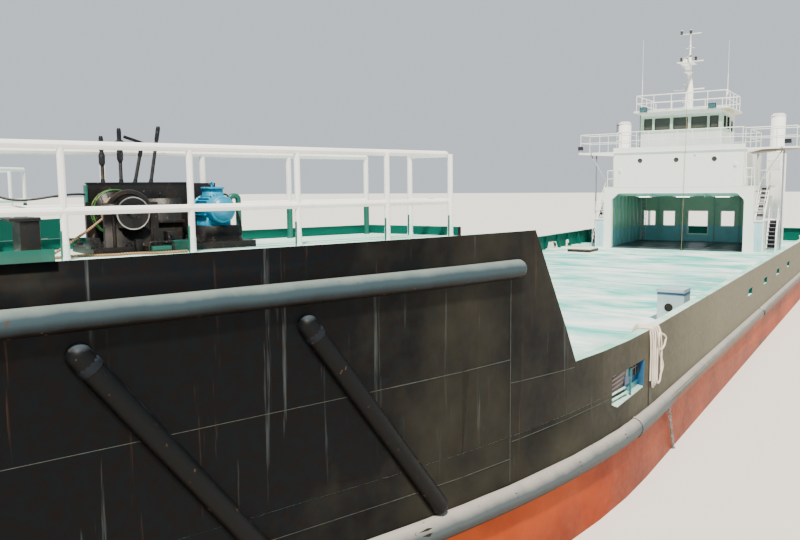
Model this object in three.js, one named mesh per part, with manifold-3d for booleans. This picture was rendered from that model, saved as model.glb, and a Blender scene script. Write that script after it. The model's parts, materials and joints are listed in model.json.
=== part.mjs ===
// River barge: a self-propelled deck cargo barge with two raised bow wings, a bow ramp
// between them, an open cargo deck and a deckhouse aft over an open bay.
// Every size below is in metres of the real barge. M turns it into millimetres of the 1:2 model.
// +X is port, +Y is aft, +Z is up. The origin is under the middle of the flat bottom.

import * as THREE from 'three';
import Module from 'manifold-3d';
import { mergeVertices } from 'three/addons/utils/BufferGeometryUtils.js';

const wasm = await Module();
wasm.setup();

// Driving dimensions. GAP is what two touching pieces keep between them
const M = 500;
const GAP = 0.0006;
const PLATE = 0.1;

const BOW = -29;
const STERN = 29;
const DECK = 3.4;
const BULWARK_TOP = 4.3;
const WING_DECK = 6.69;
const PLAN = {
  bowHalf: 3.3, chineHalf: 5.72, half: 7.1, sternHalf: 6.6,
  chine: -22, tangent: -18, shoulder: -14, quarter: 20,
};
const BOTTOM = { bowFlat: -24, bowKnuckle: 1.8, sternFlat: 22.5, counterStart: 25.5, counter: 1.7 };
const FENDER = { z: 2.4, r: 0.2, breaks: [[BOW + 0.3, 1.3], [1.9, 28.4]] };
const SIDES = { port: 1, starboard: -1 };

// How far a cutting tool reaches: past the sides, past the hull's top, and past everything
const WIDE = 9;
const OVER = 9;
const FAR = 20;

// The half-breadth of the hull's wall at a station along it
function wallAt(y) {
  const { bowHalf, chineHalf, half, sternHalf, chine, shoulder, quarter } = PLAN;
  if (y < chine) return bowHalf + (chineHalf - bowHalf) * (y - BOW) / (chine - BOW);
  if (y < shoulder) return half - (half - chineHalf) * ((y - shoulder) / (chine - shoulder)) ** 2;
  if (y < quarter) return half;
  return half - (half - sternHalf) * (y - quarter) / (STERN - quarter);
}

// Solids: three.js shapes are turned into solids that can be joined and cut
function solid(geometry) {
  const bare = geometry.clone();
  bare.deleteAttribute('normal');
  bare.deleteAttribute('uv');
  const merged = mergeVertices(bare, 1e-5);
  const vertProperties = new Float32Array(merged.attributes.position.array);
  const triVerts = new Uint32Array(merged.index.array);
  return new wasm.Manifold(new wasm.Mesh({ numProp: 3, vertProperties, triVerts }));
}

function join(...pieces) {
  return pieces.flat().reduce((whole, piece) => whole.add(piece));
}

function cut(body, ...tools) {
  return tools.flat().reduce((whole, tool) => whole.subtract(tool), body);
}

function box([x0, x1], [y0, y1], [z0, z1]) {
  const geometry = new THREE.BoxGeometry(x1 - x0, y1 - y0, z1 - z0);
  geometry.translate((x0 + x1) / 2, (y0 + y1) / 2, (z0 + z1) / 2);
  return solid(geometry);
}

// The two ends of a stretch about its middle, and of one on a given side of the barge
const about = (middle, half) => [middle - half, middle + half];
const onSide = (side, [a, b]) => [Math.min(side * a, side * b), Math.max(side * a, side * b)];
const flipped = (side, points) => points.map(([x, ...rest]) => [side * x, ...rest]);

function polygon(points) {
  return new THREE.Shape(points.map(([u, v]) => new THREE.Vector2(u, v)));
}

function extrude(shape, depth, segments = 8) {
  return new THREE.ExtrudeGeometry(shape, { depth, bevelEnabled: false, curveSegments: segments });
}

// An outline seen from above, as X and Y, raised from z0 to z1
function raise(shape, z0, z1, segments) {
  return solid(extrude(shape, z1 - z0, segments).translate(0, 0, z0));
}

// An outline seen from the side, as Y and Z, carried across from x0 to x1
function across(points, x0, x1) {
  const basis = new THREE.Matrix4().makeBasis(
    new THREE.Vector3(0, 1, 0), new THREE.Vector3(0, 0, 1), new THREE.Vector3(1, 0, 0));
  return solid(extrude(polygon(points), x1 - x0).applyMatrix4(basis).translate(x0, 0, 0));
}

// An outline seen from the bow, as X and Z, carried along from y0 to y1
function along(points, y0, y1) {
  const basis = new THREE.Matrix4().makeBasis(
    new THREE.Vector3(1, 0, 0), new THREE.Vector3(0, 0, 1), new THREE.Vector3(0, -1, 0));
  return solid(extrude(polygon(points), y1 - y0).applyMatrix4(basis).translate(0, y1, 0));
}

// A round bar between two points, tapered when two radii are given
function bar(start, end, r, sides = 6, rEnd = r) {
  const a = new THREE.Vector3(...start);
  const b = new THREE.Vector3(...end);
  const run = b.clone().sub(a);
  const geometry = new THREE.CylinderGeometry(rEnd, r, run.length(), sides, 1, false, Math.PI / sides);
  const turn = new THREE.Quaternion().setFromUnitVectors(new THREE.Vector3(0, 1, 0), run.normalize());
  geometry.applyQuaternion(turn);
  const middle = a.add(b).multiplyScalar(0.5);
  return solid(geometry.translate(middle.x, middle.y, middle.z));
}

function ball([x, y, z], r, sides = 8) {
  return solid(new THREE.SphereGeometry(r, sides, sides / 2).translate(x, y, z));
}

// A round section swept along points that a smooth curve passes through
function tube(points, r, sides, steps) {
  const path = new THREE.CatmullRomCurve3(points.map((p) => new THREE.Vector3(...p)));
  const section = new THREE.Shape();
  section.absarc(0, 0, r, 0, 2 * Math.PI);
  const options = { steps, extrudePath: path, bevelEnabled: false, curveSegments: sides };
  return solid(new THREE.ExtrudeGeometry(section, options));
}

// The assembly: each mesh is one named piece with its own finish
const barge = new THREE.Group();
barge.name = 'river_barge';

const FINISHES = {
  hull: { color: 0x24302e, roughness: 0.45, metalness: 0.2 },
  green: { color: 0x0f7d66, roughness: 0.45, metalness: 0.1 },
  white: { color: 0xf2f4f2, roughness: 0.4, metalness: 0.05 },
  black: { color: 0x191c1d, roughness: 0.55, metalness: 0.2 },
  blue: { color: 0x2488c8, roughness: 0.4, metalness: 0.1 },
  steel: { color: 0x8f9698, roughness: 0.45, metalness: 0.8 },
  bronze: { color: 0xa98848, roughness: 0.35, metalness: 0.9 },
  rope: { color: 0xe6dccb, roughness: 0.9, metalness: 0 },
};

function piece(name, body, finish, parent = barge, position = [0, 0, 0]) {
  const { vertProperties, triVerts } = body.getMesh();
  const geometry = new THREE.BufferGeometry();
  geometry.setAttribute('position', new THREE.BufferAttribute(new Float32Array(vertProperties), 3));
  geometry.setIndex(new THREE.BufferAttribute(new Uint32Array(triVerts), 1));
  geometry.scale(M, M, M);
  geometry.computeVertexNormals();
  const mesh = new THREE.Mesh(geometry, new THREE.MeshStandardMaterial(FINISHES[finish]));
  mesh.name = name;
  mesh.position.set(...position).multiplyScalar(M);
  parent.add(mesh);
  return mesh;
}

// Turns a piece of the port side into its starboard twin
function mirrored(mesh) {
  const { geometry } = mesh;
  geometry.scale(-1, 1, 1);
  const { array } = geometry.index;
  for (let i = 0; i < array.length; i += 3) [array[i], array[i + 1]] = [array[i + 1], array[i]];
  geometry.computeVertexNormals();
}

// The hull's outline from above, drawn in by an inset
function hullPlan(inset) {
  const { bowHalf, chineHalf, half, sternHalf, chine, tangent, shoulder, quarter } = PLAN;
  const shape = new THREE.Shape();
  shape.moveTo(inset - bowHalf, BOW + inset);
  shape.lineTo(bowHalf - inset, BOW + inset);
  shape.lineTo(chineHalf - inset, chine);
  shape.quadraticCurveTo(half - inset, tangent, half - inset, shoulder);
  shape.lineTo(half - inset, quarter);
  shape.lineTo(sternHalf - inset, STERN - inset);
  shape.lineTo(inset - sternHalf, STERN - inset);
  shape.lineTo(inset - half, quarter);
  shape.lineTo(inset - half, shoulder);
  shape.quadraticCurveTo(inset - half, tangent, inset - chineHalf, chine);
  return shape;
}

// The hull's plan raised between two heights, solid or as its plating only
const CURVE_STEPS = 6;
const hullBlock = (inset, z0, z1) => raise(hullPlan(inset), z0, z1, CURVE_STEPS);
const hullPlating = (z0, z1) => cut(hullBlock(0, z0, z1), hullBlock(PLATE, z0 - 1, z1 + 1));

// A half-pipe fender that follows the wall, its inner half sunk into the plating
const END_BALL = 0.99;
function wallFender(side, y0, y1, z, r, steps) {
  const points = [];
  for (let i = 0; i <= steps; i += 1) {
    const y = y0 + (y1 - y0) * i / steps;
    points.push([side * wallAt(y), y, z]);
  }
  const ends = [points[0], points[steps]].map((point) => ball(point, r * END_BALL));
  return join(tube(points, r, 10, steps), ends);
}

// Hull: flat bottom, raked bow and stern, a notch for the ramp's hinge, two shaft bossings on
// skegs, mooring bitts, the coaming of the deck hatch and a pocket under each fairlead
const RAMP = {
  half: 2.15, thick: 0.2, length: 3.9, plate: 0.06, side: 0.05,
  notch: 0.3, notchFloor: 3.05, hingeY: BOW + 0.13, hingeZ: 3.25, hingeR: 0.11,
};
const SHAFT = { x: 3, z: 0.85, r: 0.12, start: 23.6, end: 26 };
const SKEG = { half: 0.05, ahead: 23.4, behind: 25.9, foot: 0.4, heel: 0.7, top: 1.75 };
const HATCH = { x: [-5.25, -3.85], y: [13.45, 14.95], coaming: 0.12, wall: 0.08, well: 0.2, lid: 0.07 };
const BITTS = {
  places: [[6.35, -15.5], [6.1, 26.5]],
  baseHalf: [0.2, 0.55], plate: 0.06, posts: [-0.33, 0.33], postR: 0.11, height: 0.5,
};
const FAIRLEAD = { y: [-16.2, -14.35], sill: 3.1, head: 3.72, pocket: [6.9, 7.5] };
const SUNK = 0.01;

function bitts(x, y) {
  const { baseHalf, plate, posts, postR, height } = BITTS;
  const base = box(about(x, baseHalf[0]), about(y, baseHalf[1]), [DECK - SUNK, DECK + plate]);
  return join(base, posts.map((dy) => bar([x, y + dy, DECK], [x, y + dy, DECK + height], postR, 10)));
}

function hull() {
  const { bowFlat, bowKnuckle, sternFlat, counterStart, counter } = BOTTOM;
  const [ahead, behind, under, slope] = [BOW - 1, STERN + 1, -0.1, 0.36];
  const bowRake = [[ahead, under], [bowFlat, under], [bowFlat, 0], [BOW, bowKnuckle],
    [ahead, bowKnuckle + slope]];
  const sternRake = [[sternFlat, 0], [counterStart, counter], [behind, counter], [behind, under],
    [sternFlat, under]];
  const notchHalf = RAMP.half + RAMP.side;
  const notch = box(about(0, notchHalf), [ahead, BOW + RAMP.notch], [RAMP.notchFloor, DECK + 1]);
  const rakes = [bowRake, sternRake].map((rake) => across(rake, -WIDE, WIDE));
  const body = cut(hullBlock(0, 0, DECK), rakes, notch);
  const skeg = [[SKEG.ahead, SKEG.foot], [SKEG.behind, SKEG.heel], [SKEG.behind, SKEG.top],
    [SKEG.ahead, SKEG.top]];
  const added = [box(HATCH.x, HATCH.y, [DECK - SUNK, DECK + HATCH.coaming])];
  for (const side of Object.values(SIDES)) {
    const x = side * SHAFT.x;
    FENDER.breaks.forEach(([y0, y1]) => added.push(wallFender(side, y0, y1, FENDER.z, FENDER.r, 16)));
    added.push(bar([x, SHAFT.start, SHAFT.z], [x, SHAFT.end, SHAFT.z], SHAFT.r, 12));
    added.push(across(skeg, x - SKEG.half, x + SKEG.half));
    BITTS.places.forEach(([bx, by]) => added.push(bitts(side * bx, by)));
  }
  const pockets = Object.values(SIDES).map((side) =>
    box(onSide(side, FAIRLEAD.pocket), FAIRLEAD.y, [FAIRLEAD.sill, DECK + 1]));
  const inside = ([a, b]) => [a + HATCH.wall, b - HATCH.wall];
  const well = box(inside(HATCH.x), inside(HATCH.y), [DECK - HATCH.well, DECK + 1]);
  return cut(join(body, added), well, pockets);
}
piece('hull', hull(), 'hull');

// Bow wings: raised decks on each bow, with a gusset plate aft, half-pipe fenders and a coaming
const WING = {
  aft: -20.7, gussetFoot: -17.7, gussetHead: -18.97, innerAft: 4.5, innerBow: 2.2, innerKnee: -27,
  coaming: 0.13, coamingThick: 0.05, fenderZ: 6.1, fenderEnd: -19.45, fenderR: 0.15,
};
const DIAGONALS = {
  tops: [-23.2, -25.79, -28.38], topZ: 5.68, footZ: FENDER.z + FENDER.r + 0.005, run: 2.05, r: 0.14,
};

function bowWing(side) {
  const { aft, gussetFoot, gussetHead, innerAft, innerBow, innerKnee } = WING;
  const base = DECK + GAP;
  const outline = [[innerBow, BOW - 1], [WIDE, BOW - 1], [WIDE, aft], [innerAft, aft], [innerBow, innerKnee]];
  const plan = raise(polygon(flipped(side, outline)), DECK - 1, OVER);
  const block = hullBlock(0, base, WING_DECK).intersect(plan);
  const gussetSide = [[aft - PLATE, 3], [gussetFoot, 3], [gussetFoot, BULWARK_TOP],
    [gussetHead, WING_DECK], [gussetHead, OVER], [aft - PLATE, OVER]];
  const gusset = hullPlating(base, WING_DECK).intersect(across(gussetSide, ...onSide(side, [0, WIDE])));
  const t = WING.coamingThick;
  const edge = wallAt(aft);
  const rim = [[innerBow, BOW], [innerBow, innerKnee], [innerAft, aft], [edge, aft], [edge - t / 2, aft - t],
    [innerAft + t, aft - t], [innerBow + t, innerKnee - t / 2], [innerBow + t, BOW]];
  const coaming = raise(polygon(flipped(side, rim)), WING_DECK - SUNK, WING_DECK + WING.coaming);
  const { tops, topZ, footZ, run, r } = DIAGONALS;
  const fenders = [wallFender(side, BOW + 0.2, WING.fenderEnd, WING.fenderZ, WING.fenderR, 10)];
  for (const top of tops) {
    const head = [side * wallAt(top), top, topZ];
    const foot = [side * wallAt(top + run), top + run, footZ + r];
    fenders.push(bar(head, foot, r, 10), ball(head, r * END_BALL), ball(foot, r * END_BALL));
  }
  return join(block, gusset, coaming, cut(join(fenders), hullBlock(-GAP, -1, base)));
}
for (const [name, side] of Object.entries(SIDES)) piece(`bow_wing_${name}`, bowWing(side), 'hull');

// Bulwarks: plated sides of the cargo deck with a cap, brackets, freeing ports and a fairlead opening
const BULWARK = {
  start: WING.gussetFoot + GAP, cap: 0.12, capThick: 0.06,
  bracketFrom: -13.5, bracketTo: 28, bracketStep: 1.85,
  bracketDepth: 0.3, bracketHead: 0.08, bracketHalf: 0.03,
};
const FREEING_PORTS = { ys: [-0.8, 2.9, 6.6, 10.3], half: 0.45, top: DECK + 0.24 };

function bulwark(side) {
  const { start, cap, capThick, bracketStep, bracketDepth, bracketHead, bracketHalf } = BULWARK;
  const foot = DECK + GAP;
  const keep = box(onSide(side, [GAP, WIDE]), [start, STERN + 1], [0, OVER]);
  const capRing = cut(hullBlock(0, BULWARK_TOP - capThick, BULWARK_TOP), hullBlock(PLATE + cap, 0, OVER));
  const brackets = [];
  for (let y = BULWARK.bracketFrom; y < BULWARK.bracketTo; y += bracketStep) {
    const x = wallAt(y) - PLATE;
    const [head, sunk] = [BULWARK_TOP - 0.1, x + 0.02];
    const profile = [[sunk, foot], [x - bracketDepth, foot], [x - bracketHead, head], [sunk, head]];
    brackets.push(along(flipped(side, profile), y - bracketHalf, y + bracketHalf));
  }
  const through = onSide(side, [PLAN.half - 0.5, PLAN.half + 0.2]);
  const { ys, half, top } = FREEING_PORTS;
  const ports = ys.map((y) => box(through, about(y, half), [DECK - 0.1, top]));
  const whole = join(hullPlating(foot, BULWARK_TOP), capRing, brackets).intersect(keep);
  return cut(whole, ports, box(through, FAIRLEAD.y, [DECK - 0.1, FAIRLEAD.head]));
}
for (const [name, side] of Object.entries(SIDES)) piece(`bulwark_${name}`, bulwark(side), 'green');

// Mooring rope stowed as a hank, which is laid over the port bulwark's cap: its long bights hang
// outboard and the short ones inboard
const HANK = { y: [-13.98, -13.6], foot: 2.95, depth: 0.19, over: 0.11, inboard: 0.17, inboardFoot: 3.8 };
function ropeHank() {
  const { y, foot, depth, over, inboard, inboardFoot } = HANK;
  const [seat, crown] = [BULWARK_TOP + GAP, BULWARK_TOP + over];
  const wall = PLAN.half + GAP;
  const capEdge = PLAN.half - PLATE - BULWARK.cap - GAP;
  const drop = ([x0, x1], low) => {
    const [x, r] = [(x0 + x1) / 2, (x1 - x0) / 2];
    return join(box([x0, x1], y, [low + r, crown]), bar([x, y[0], low + r], [x, y[1], low + r], r, 16));
  };
  const crossing = box([capEdge - inboard, wall + depth], y, [seat, crown]);
  return join(crossing, drop([wall, wall + depth], foot), drop([capEdge - inboard, capEdge], inboardFoot));
}
piece('rope_hank', ropeHank(), 'rope');

// Rails of the bow wings: two pipes on stanchions, round the outer edge, with a ladder gap inboard
const RAIL = { r: 0.04, postR: 0.034, height: 1.17, mid: 0.5, inset: 0.05 };

// A level pipe through corners, mitred at each bend
function pipe(points, r, sides) {
  const positions = [];
  const index = [];
  const n = points.length;
  points.forEach(([x, y, z], i) => {
    const here = new THREE.Vector2(x, y);
    const leg = (a, b) => new THREE.Vector2(b[0] - a[0], b[1] - a[1]).normalize();
    const before = leg(points[Math.max(i - 1, 0)], points[Math.max(i, 1)]);
    const after = leg(points[Math.min(i, n - 2)], points[Math.min(i + 1, n - 1)]);
    const mean = before.clone().add(after).normalize();
    const out = new THREE.Vector2(mean.y, -mean.x).multiplyScalar(1 / mean.dot(before));
    for (let k = 0; k < sides; k += 1) {
      const turn = 2 * Math.PI * (k + 0.5) / sides;
      const p = here.clone().addScaledVector(out, r * Math.cos(turn));
      positions.push(p.x, p.y, z + r * Math.sin(turn));
    }
  });
  for (let i = 0; i + 1 < n; i += 1) {
    for (let k = 0; k < sides; k += 1) {
      const [a, b] = [i * sides + k, i * sides + (k + 1) % sides];
      index.push(a, a + sides, b, b, a + sides, b + sides);
    }
  }
  for (let k = 1; k + 1 < sides; k += 1) {
    const end = (n - 1) * sides;
    index.push(0, k, k + 1, end, end + k + 1, end + k);
  }
  const geometry = new THREE.BufferGeometry();
  geometry.setAttribute('position', new THREE.Float32BufferAttribute(positions, 3));
  geometry.setIndex(index);
  return solid(geometry);
}

// Two pipes at two heights run through the corners, and posts stand under them
function railRun(corners, posts, { r, postR, height, mid }) {
  const at = (rise) => pipe(corners.map(([x, y, z]) => [x, y, z + rise]), r, 8);
  return join(at(mid), at(height), posts.map(([x, y, z]) => bar([x, y, z], [x, y, z + height], postR)));
}

// The same of square bar, for rails that run only across and along
function squareRail(corners, posts, { r, postR, height, mid }) {
  const span = (a, b, k) => [Math.min(a[k], b[k]) - r, Math.max(a[k], b[k]) + r];
  const parts = [];
  for (let i = 0; i + 1 < corners.length; i += 1) {
    const [a, b] = [corners[i], corners[i + 1]];
    for (const z of [a[2] + mid, a[2] + height]) parts.push(box(span(a, b, 0), span(a, b, 1), about(z, r)));
  }
  posts.forEach(([x, y, z]) => parts.push(box(about(x, postR), about(y, postR), [z, z + height])));
  return join(parts);
}

function wingRail(side) {
  const raised = (points) => flipped(side, points).map(([x, y]) => [x, y, WING_DECK + GAP]);
  const outer = raised([-28.4, -27.1, -25.83, -24.55, -23.25, -21.95, -20.85]
    .map((y) => [wallAt(y) - RAIL.inset, y]));
  const inner = raised([[4.62, -20.95], [4.17, -22.2], [3.73, -23.4], [3.3, -24.6], [2.85, -25.8],
    [2.4, -27.1], [2.35, -28.4]]);
  const [aft] = raised([[5.35, -20.85]]);
  const corners = [inner[0], inner[5], inner[6], outer[0], outer[4], outer[6], aft];
  return railRun(corners, [...inner, ...outer, aft], RAIL);
}
for (const [name, side] of Object.entries(SIDES)) piece(`wing_rail_${name}`, wingRail(side), 'white');

// Ramp winches, one on each bow wing, drawn about the foot of the drum: side plates, a drum on a
// cross shaft, a motor on its seat and a control stand with four levers
const WING_ANGLE = Math.atan((PLAN.chineHalf - PLAN.bowHalf) / (PLAN.chine - BOW));
const WINCH = { y: -24.84, inboard: 0.8, shaftZ: 0.45, shaftR: 0.06, drumR: 0.16, flangeR: 0.25 };
const MOTOR = { y: 1.14, z: 0.46, r: 0.17, coverR: 0.14, seatTop: 0.26, seatHalf: [0.25, 0.22] };

function winchBed() {
  const { shaftZ, shaftR } = WINCH;
  const skid = box([-0.42, 0.42], [-0.45, MOTOR.y + 0.35], [0, 0.08]);
  const cheeks = [-0.36, 0.33].map((x) => box(about(x, 0.03), [-0.3, 0.3], [0.05, shaftZ + 0.12]));
  const gearbox = box([-0.42, -0.2], [0.36, 0.8], [0.05, 0.6]);
  const seat = box(about(0, MOTOR.seatHalf[0]), about(MOTOR.y, MOTOR.seatHalf[1]), [0.05, MOTOR.seatTop]);
  return cut(join(skid, cheeks, gearbox, seat), bar([-1, 0, shaftZ], [1, 0, shaftZ], shaftR + GAP, 12));
}

function winchDrum() {
  const { shaftR, drumR, flangeR } = WINCH;
  const core = [bar([-0.4, 0, 0], [0.4, 0, 0], shaftR, 12), bar([-0.29, 0, 0], [0.26, 0, 0], drumR, 16)];
  return join(core, [-0.3, 0.24].map((x) => bar([x, 0, 0], [x + 0.03, 0, 0], flangeR, 20)));
}

function winchMotor() {
  const { r, coverR, seatTop, z } = MOTOR;
  const frame = bar([-0.3, 0, 0], [0.22, 0, 0], r, 16);
  const cover = bar([0.2, 0, 0], [0.28, 0, 0], coverR, 16);
  const terminals = box([-0.14, 0.08], about(0, 0.09), [0.1, 0.25]);
  return join(frame, cover, terminals, box([-0.2, 0.15], about(0, 0.15), [seatTop + GAP - z, -0.1]));
}

const STAND = { x: 0.47, half: 0.03, y: [-0.24, 1.05], top: 0.79, leverR: 0.022 };
const LEVERS = [
  { y: -0.05, lean: 0, top: 1.34 },
  { y: 0.165, lean: 0, top: 1.44 },
  { y: 0.31, lean: 0.13, top: 1.28 },
  { y: 0.51, lean: 0.14, top: 1.48 },
];
function controlStand() {
  const { half, top, leverR } = STAND;
  const levers = LEVERS.map((lever) =>
    bar([0, lever.y, top - 0.09], [0, lever.y + lever.lean, lever.top], leverR));
  return join(box(about(0, half), STAND.y, [0, top]), levers);
}

for (const [name, side] of Object.entries(SIDES)) {
  const station = new THREE.Group();
  const x = side * (wallAt(WINCH.y) - WINCH.inboard);
  station.position.set(x, WINCH.y, WING_DECK + GAP).multiplyScalar(M);
  station.rotation.z = -side * WING_ANGLE;
  barge.add(station);
  const made = [
    piece(`winch_bed_${name}`, winchBed(), 'black', station),
    piece(`winch_drum_${name}`, winchDrum(), 'green', station, [0, 0, WINCH.shaftZ]),
    piece(`winch_motor_${name}`, winchMotor(), 'blue', station, [0, MOTOR.y, MOTOR.z]),
    piece(`control_stand_${name}`, controlStand(), 'black', station, [-side * STAND.x, 0, 0]),
  ];
  if (side < 0) made.forEach(mirrored);
}

// Bow ramp: a stiffened plate that stands between the wings and swings down over the bow
function bowRamp() {
  const { half, thick, length, plate, side, hingeR } = RAMP;
  const depth = about(0, thick / 2);
  const parts = [box(about(0, half), [-thick / 2, plate - thick / 2], [0, length])];
  parts.push(box(about(0, half), depth, [length - 0.15, length]));
  for (const edge of [[-half, 0.08 - half], [half - 0.08, half]]) parts.push(box(edge, depth, [0, length]));
  for (const x of [-0.75, 0.75]) parts.push(box(about(x, 0.04), depth, [0, length]));
  const shallow = [-thick / 2, thick / 2 - 0.05];
  for (const z of [0.9, 1.9, 2.9]) parts.push(box(about(0, half), shallow, about(z, 0.04)));
  const barrelHalf = half + side - GAP;
  return join(parts, bar([-barrelHalf, 0, 0], [barrelHalf, 0, 0], hingeR, 14));
}
piece('bow_ramp', bowRamp(), 'green', barge, [0, RAMP.hingeY, RAMP.hingeZ]);

// Deckhouse bay: an open-fronted hall of full height, with four openings in its rear wall
const HOUSE = {
  front: 17.5, rear: 25.6, half: 4.4, wall: 0.12, bayTop: 6.9, beamTop: 7.27,
  mouthHalf: 3.9, mouthTop: 6.88, chamfer: 0.4, portal: 0.3,
};
const REAR_OPENINGS = [
  { x: -3.65, w: 0.8, sill: 1.1, top: 2.1 },
  { x: -2.28, w: 0.78, sill: 1.1, top: 2.1 },
  { x: -0.32, w: 1.28, sill: 0.55, top: 2.12 },
  { x: 1.62, w: 0.83, sill: 1.12, top: 2.12 },
];

function bayWalls() {
  const { front, rear, half, wall, bayTop, mouthHalf, mouthTop, chamfer, portal } = HOUSE;
  const outer = box(about(0, half), [front, rear], [DECK + GAP, bayTop]);
  const room = box(about(0, half - wall), [front + portal, rear - wall], [0, OVER]);
  const corner = mouthTop - chamfer;
  const mouth = along([[-mouthHalf, 0], [mouthHalf, 0], [mouthHalf, corner], [mouthHalf - chamfer, mouthTop],
    [chamfer - mouthHalf, mouthTop], [-mouthHalf, corner]], front - 1, front + portal + SUNK);
  const windows = REAR_OPENINGS.map(({ x, w, sill, top }) =>
    box(about(x, w / 2), about(rear, 1), [DECK + sill, DECK + top]));
  return cut(outer, room, mouth, windows);
}
piece('bay_walls', bayWalls(), 'white');

// Boat deck over the bay, with the galleries where the stairs arrive and two posts under its aft end
const BOAT_DECK = {
  aft: 27.6, galleryHalf: 5, galleryY: [19.9, 21.6], galleryThick: 0.12,
  postX: 4.2, postY: 27.4, postHalf: 0.08,
};
function boatDeck() {
  const { front, half, bayTop, beamTop } = HOUSE;
  const { aft, galleryHalf, galleryY, galleryThick, postX, postY, postHalf } = BOAT_DECK;
  const slab = box(about(0, half), [front, aft], [bayTop + GAP, beamTop]);
  const gallery = box(about(0, galleryHalf), galleryY, [beamTop - galleryThick, beamTop]);
  const posts = Object.values(SIDES).map((side) =>
    box(about(side * postX, postHalf), about(postY, postHalf), [DECK + GAP, beamTop - SUNK]));
  return join(slab, gallery, posts);
}
piece('boat_deck', boatDeck(), 'white');

// Upper storey: cabin walls with a doorway aft on each side and three portholes forward
const UPPER = { half: 3.77, rear: 24.4, foot: HOUSE.beamTop + GAP, top: 9.38, wall: 0.12 };
const CABIN_DOOR = { y: [22.4, 23.2], sill: 0.12, head: 2 };
const PORTHOLES = { xs: [-2.17, 0, 2.17], z: 8.87, r: 0.15 };
function upperWalls() {
  const { half, rear, foot, top, wall } = UPPER;
  const { front } = HOUSE;
  const outer = box(about(0, half), [front, rear], [foot, top]);
  const room = box(about(0, half - wall), [front + wall, rear - wall], [0, FAR]);
  const doorway = box(about(0, WIDE), CABIN_DOOR.y, [foot + CABIN_DOOR.sill, foot + CABIN_DOOR.head]);
  const { xs, z, r } = PORTHOLES;
  return cut(outer, room, doorway, xs.map((x) => bar([x, front - 0.5, z], [x, front + 0.5, z], r, 12)));
}
piece('upper_walls', upperWalls(), 'white');

// Bridge deck with tapered wings to each side, each on a pole to the main deck and a brace
const BRIDGE = {
  floor: 9.5, overhang: 0.06, aft: 0.1, kick: 0.2,
  tip: 6.47, tipDepth: 0.1, rootDepth: 0.3, wingY: [18.45, 20.4],
};
const POLE = { x: 5.62, y: 19.5, r: 0.05 };
const BRACE = { footX: 4.34, headX: 5.7, y: 18.62, r: 0.035 };
function bridgeDeck() {
  const { floor, overhang, aft, kick, tip, tipDepth, rootDepth, wingY } = BRIDGE;
  const { front, beamTop } = HOUSE;
  const half = UPPER.half + overhang;
  const under = UPPER.top + GAP;
  const slab = box(about(0, half), [front - overhang, UPPER.rear + aft], [under, floor]);
  const kickPlate = box(about(0, half), [front - overhang, front], [floor - SUNK, floor + kick]);
  const root = UPPER.half + GAP;
  const profile = [[tip, floor], [tip, floor - tipDepth], [root, floor - rootDepth], [root, under]];
  const wings = along([...flipped(-1, profile), ...profile.reverse()], ...wingY);
  const legs = [];
  for (const side of Object.values(SIDES)) {
    const [poleX, footX, headX] = [side * POLE.x, side * BRACE.footX, side * BRACE.headX];
    legs.push(bar([poleX, POLE.y, DECK + GAP], [poleX, POLE.y, floor - SUNK], POLE.r, 8));
    legs.push(bar([footX, BRACE.y, beamTop - 0.1], [headX, BRACE.y, floor - tipDepth], BRACE.r));
  }
  const boatDeckTop = box(about(0, HOUSE.half + 0.1), wingY, [beamTop - 1, beamTop + GAP]);
  return join(slab, kickPlate, wings, cut(join(legs), boatDeckTop));
}
piece('bridge_deck', bridgeDeck(), 'white');

// Wheelhouse: five windows forward, two on each side, two aft, and a door on each side
const WHEELHOUSE = { front: 18.3, rear: 22.3, half: 2.4, foot: BRIDGE.floor + GAP, top: 11.75, wall: 0.1 };
const PANES = { sill: 10.72, head: 11.48 };
const FRONT_WINDOWS = [
  { x: -1.94, w: 0.53 },
  { x: -1.08, w: 0.95 },
  { x: 0, w: 0.9 },
  { x: 1.08, w: 0.95 },
  { x: 1.94, w: 0.53 },
];
const SIDE_WINDOWS = [{ y: 18.95, w: 0.8 }, { y: 20, w: 0.9 }];
const REAR_WINDOWS = [{ x: -1.1, w: 1.1 }, { x: 1.1, w: 1.1 }];
const SIDE_DOOR = { y: [20.85, 21.65], z: [9.62, 11.5] };
function wheelhouseWalls() {
  const { front, rear, half, foot, top, wall } = WHEELHOUSE;
  const height = [PANES.sill, PANES.head];
  const outer = box(about(0, half), [front, rear], [foot, top]);
  const room = box(about(0, half - wall), [front + wall, rear - wall], [0, FAR]);
  const openings = [box(about(0, WIDE), SIDE_DOOR.y, SIDE_DOOR.z)];
  FRONT_WINDOWS.forEach(({ x, w }) => openings.push(box(about(x, w / 2), about(front, 1), height)));
  SIDE_WINDOWS.forEach(({ y, w }) => openings.push(box(about(0, WIDE), about(y, w / 2), height)));
  REAR_WINDOWS.forEach(({ x, w }) => openings.push(box(about(x, w / 2), about(rear, 1), height)));
  return cut(outer, room, openings);
}
piece('wheelhouse_walls', wheelhouseWalls(), 'white');

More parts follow.
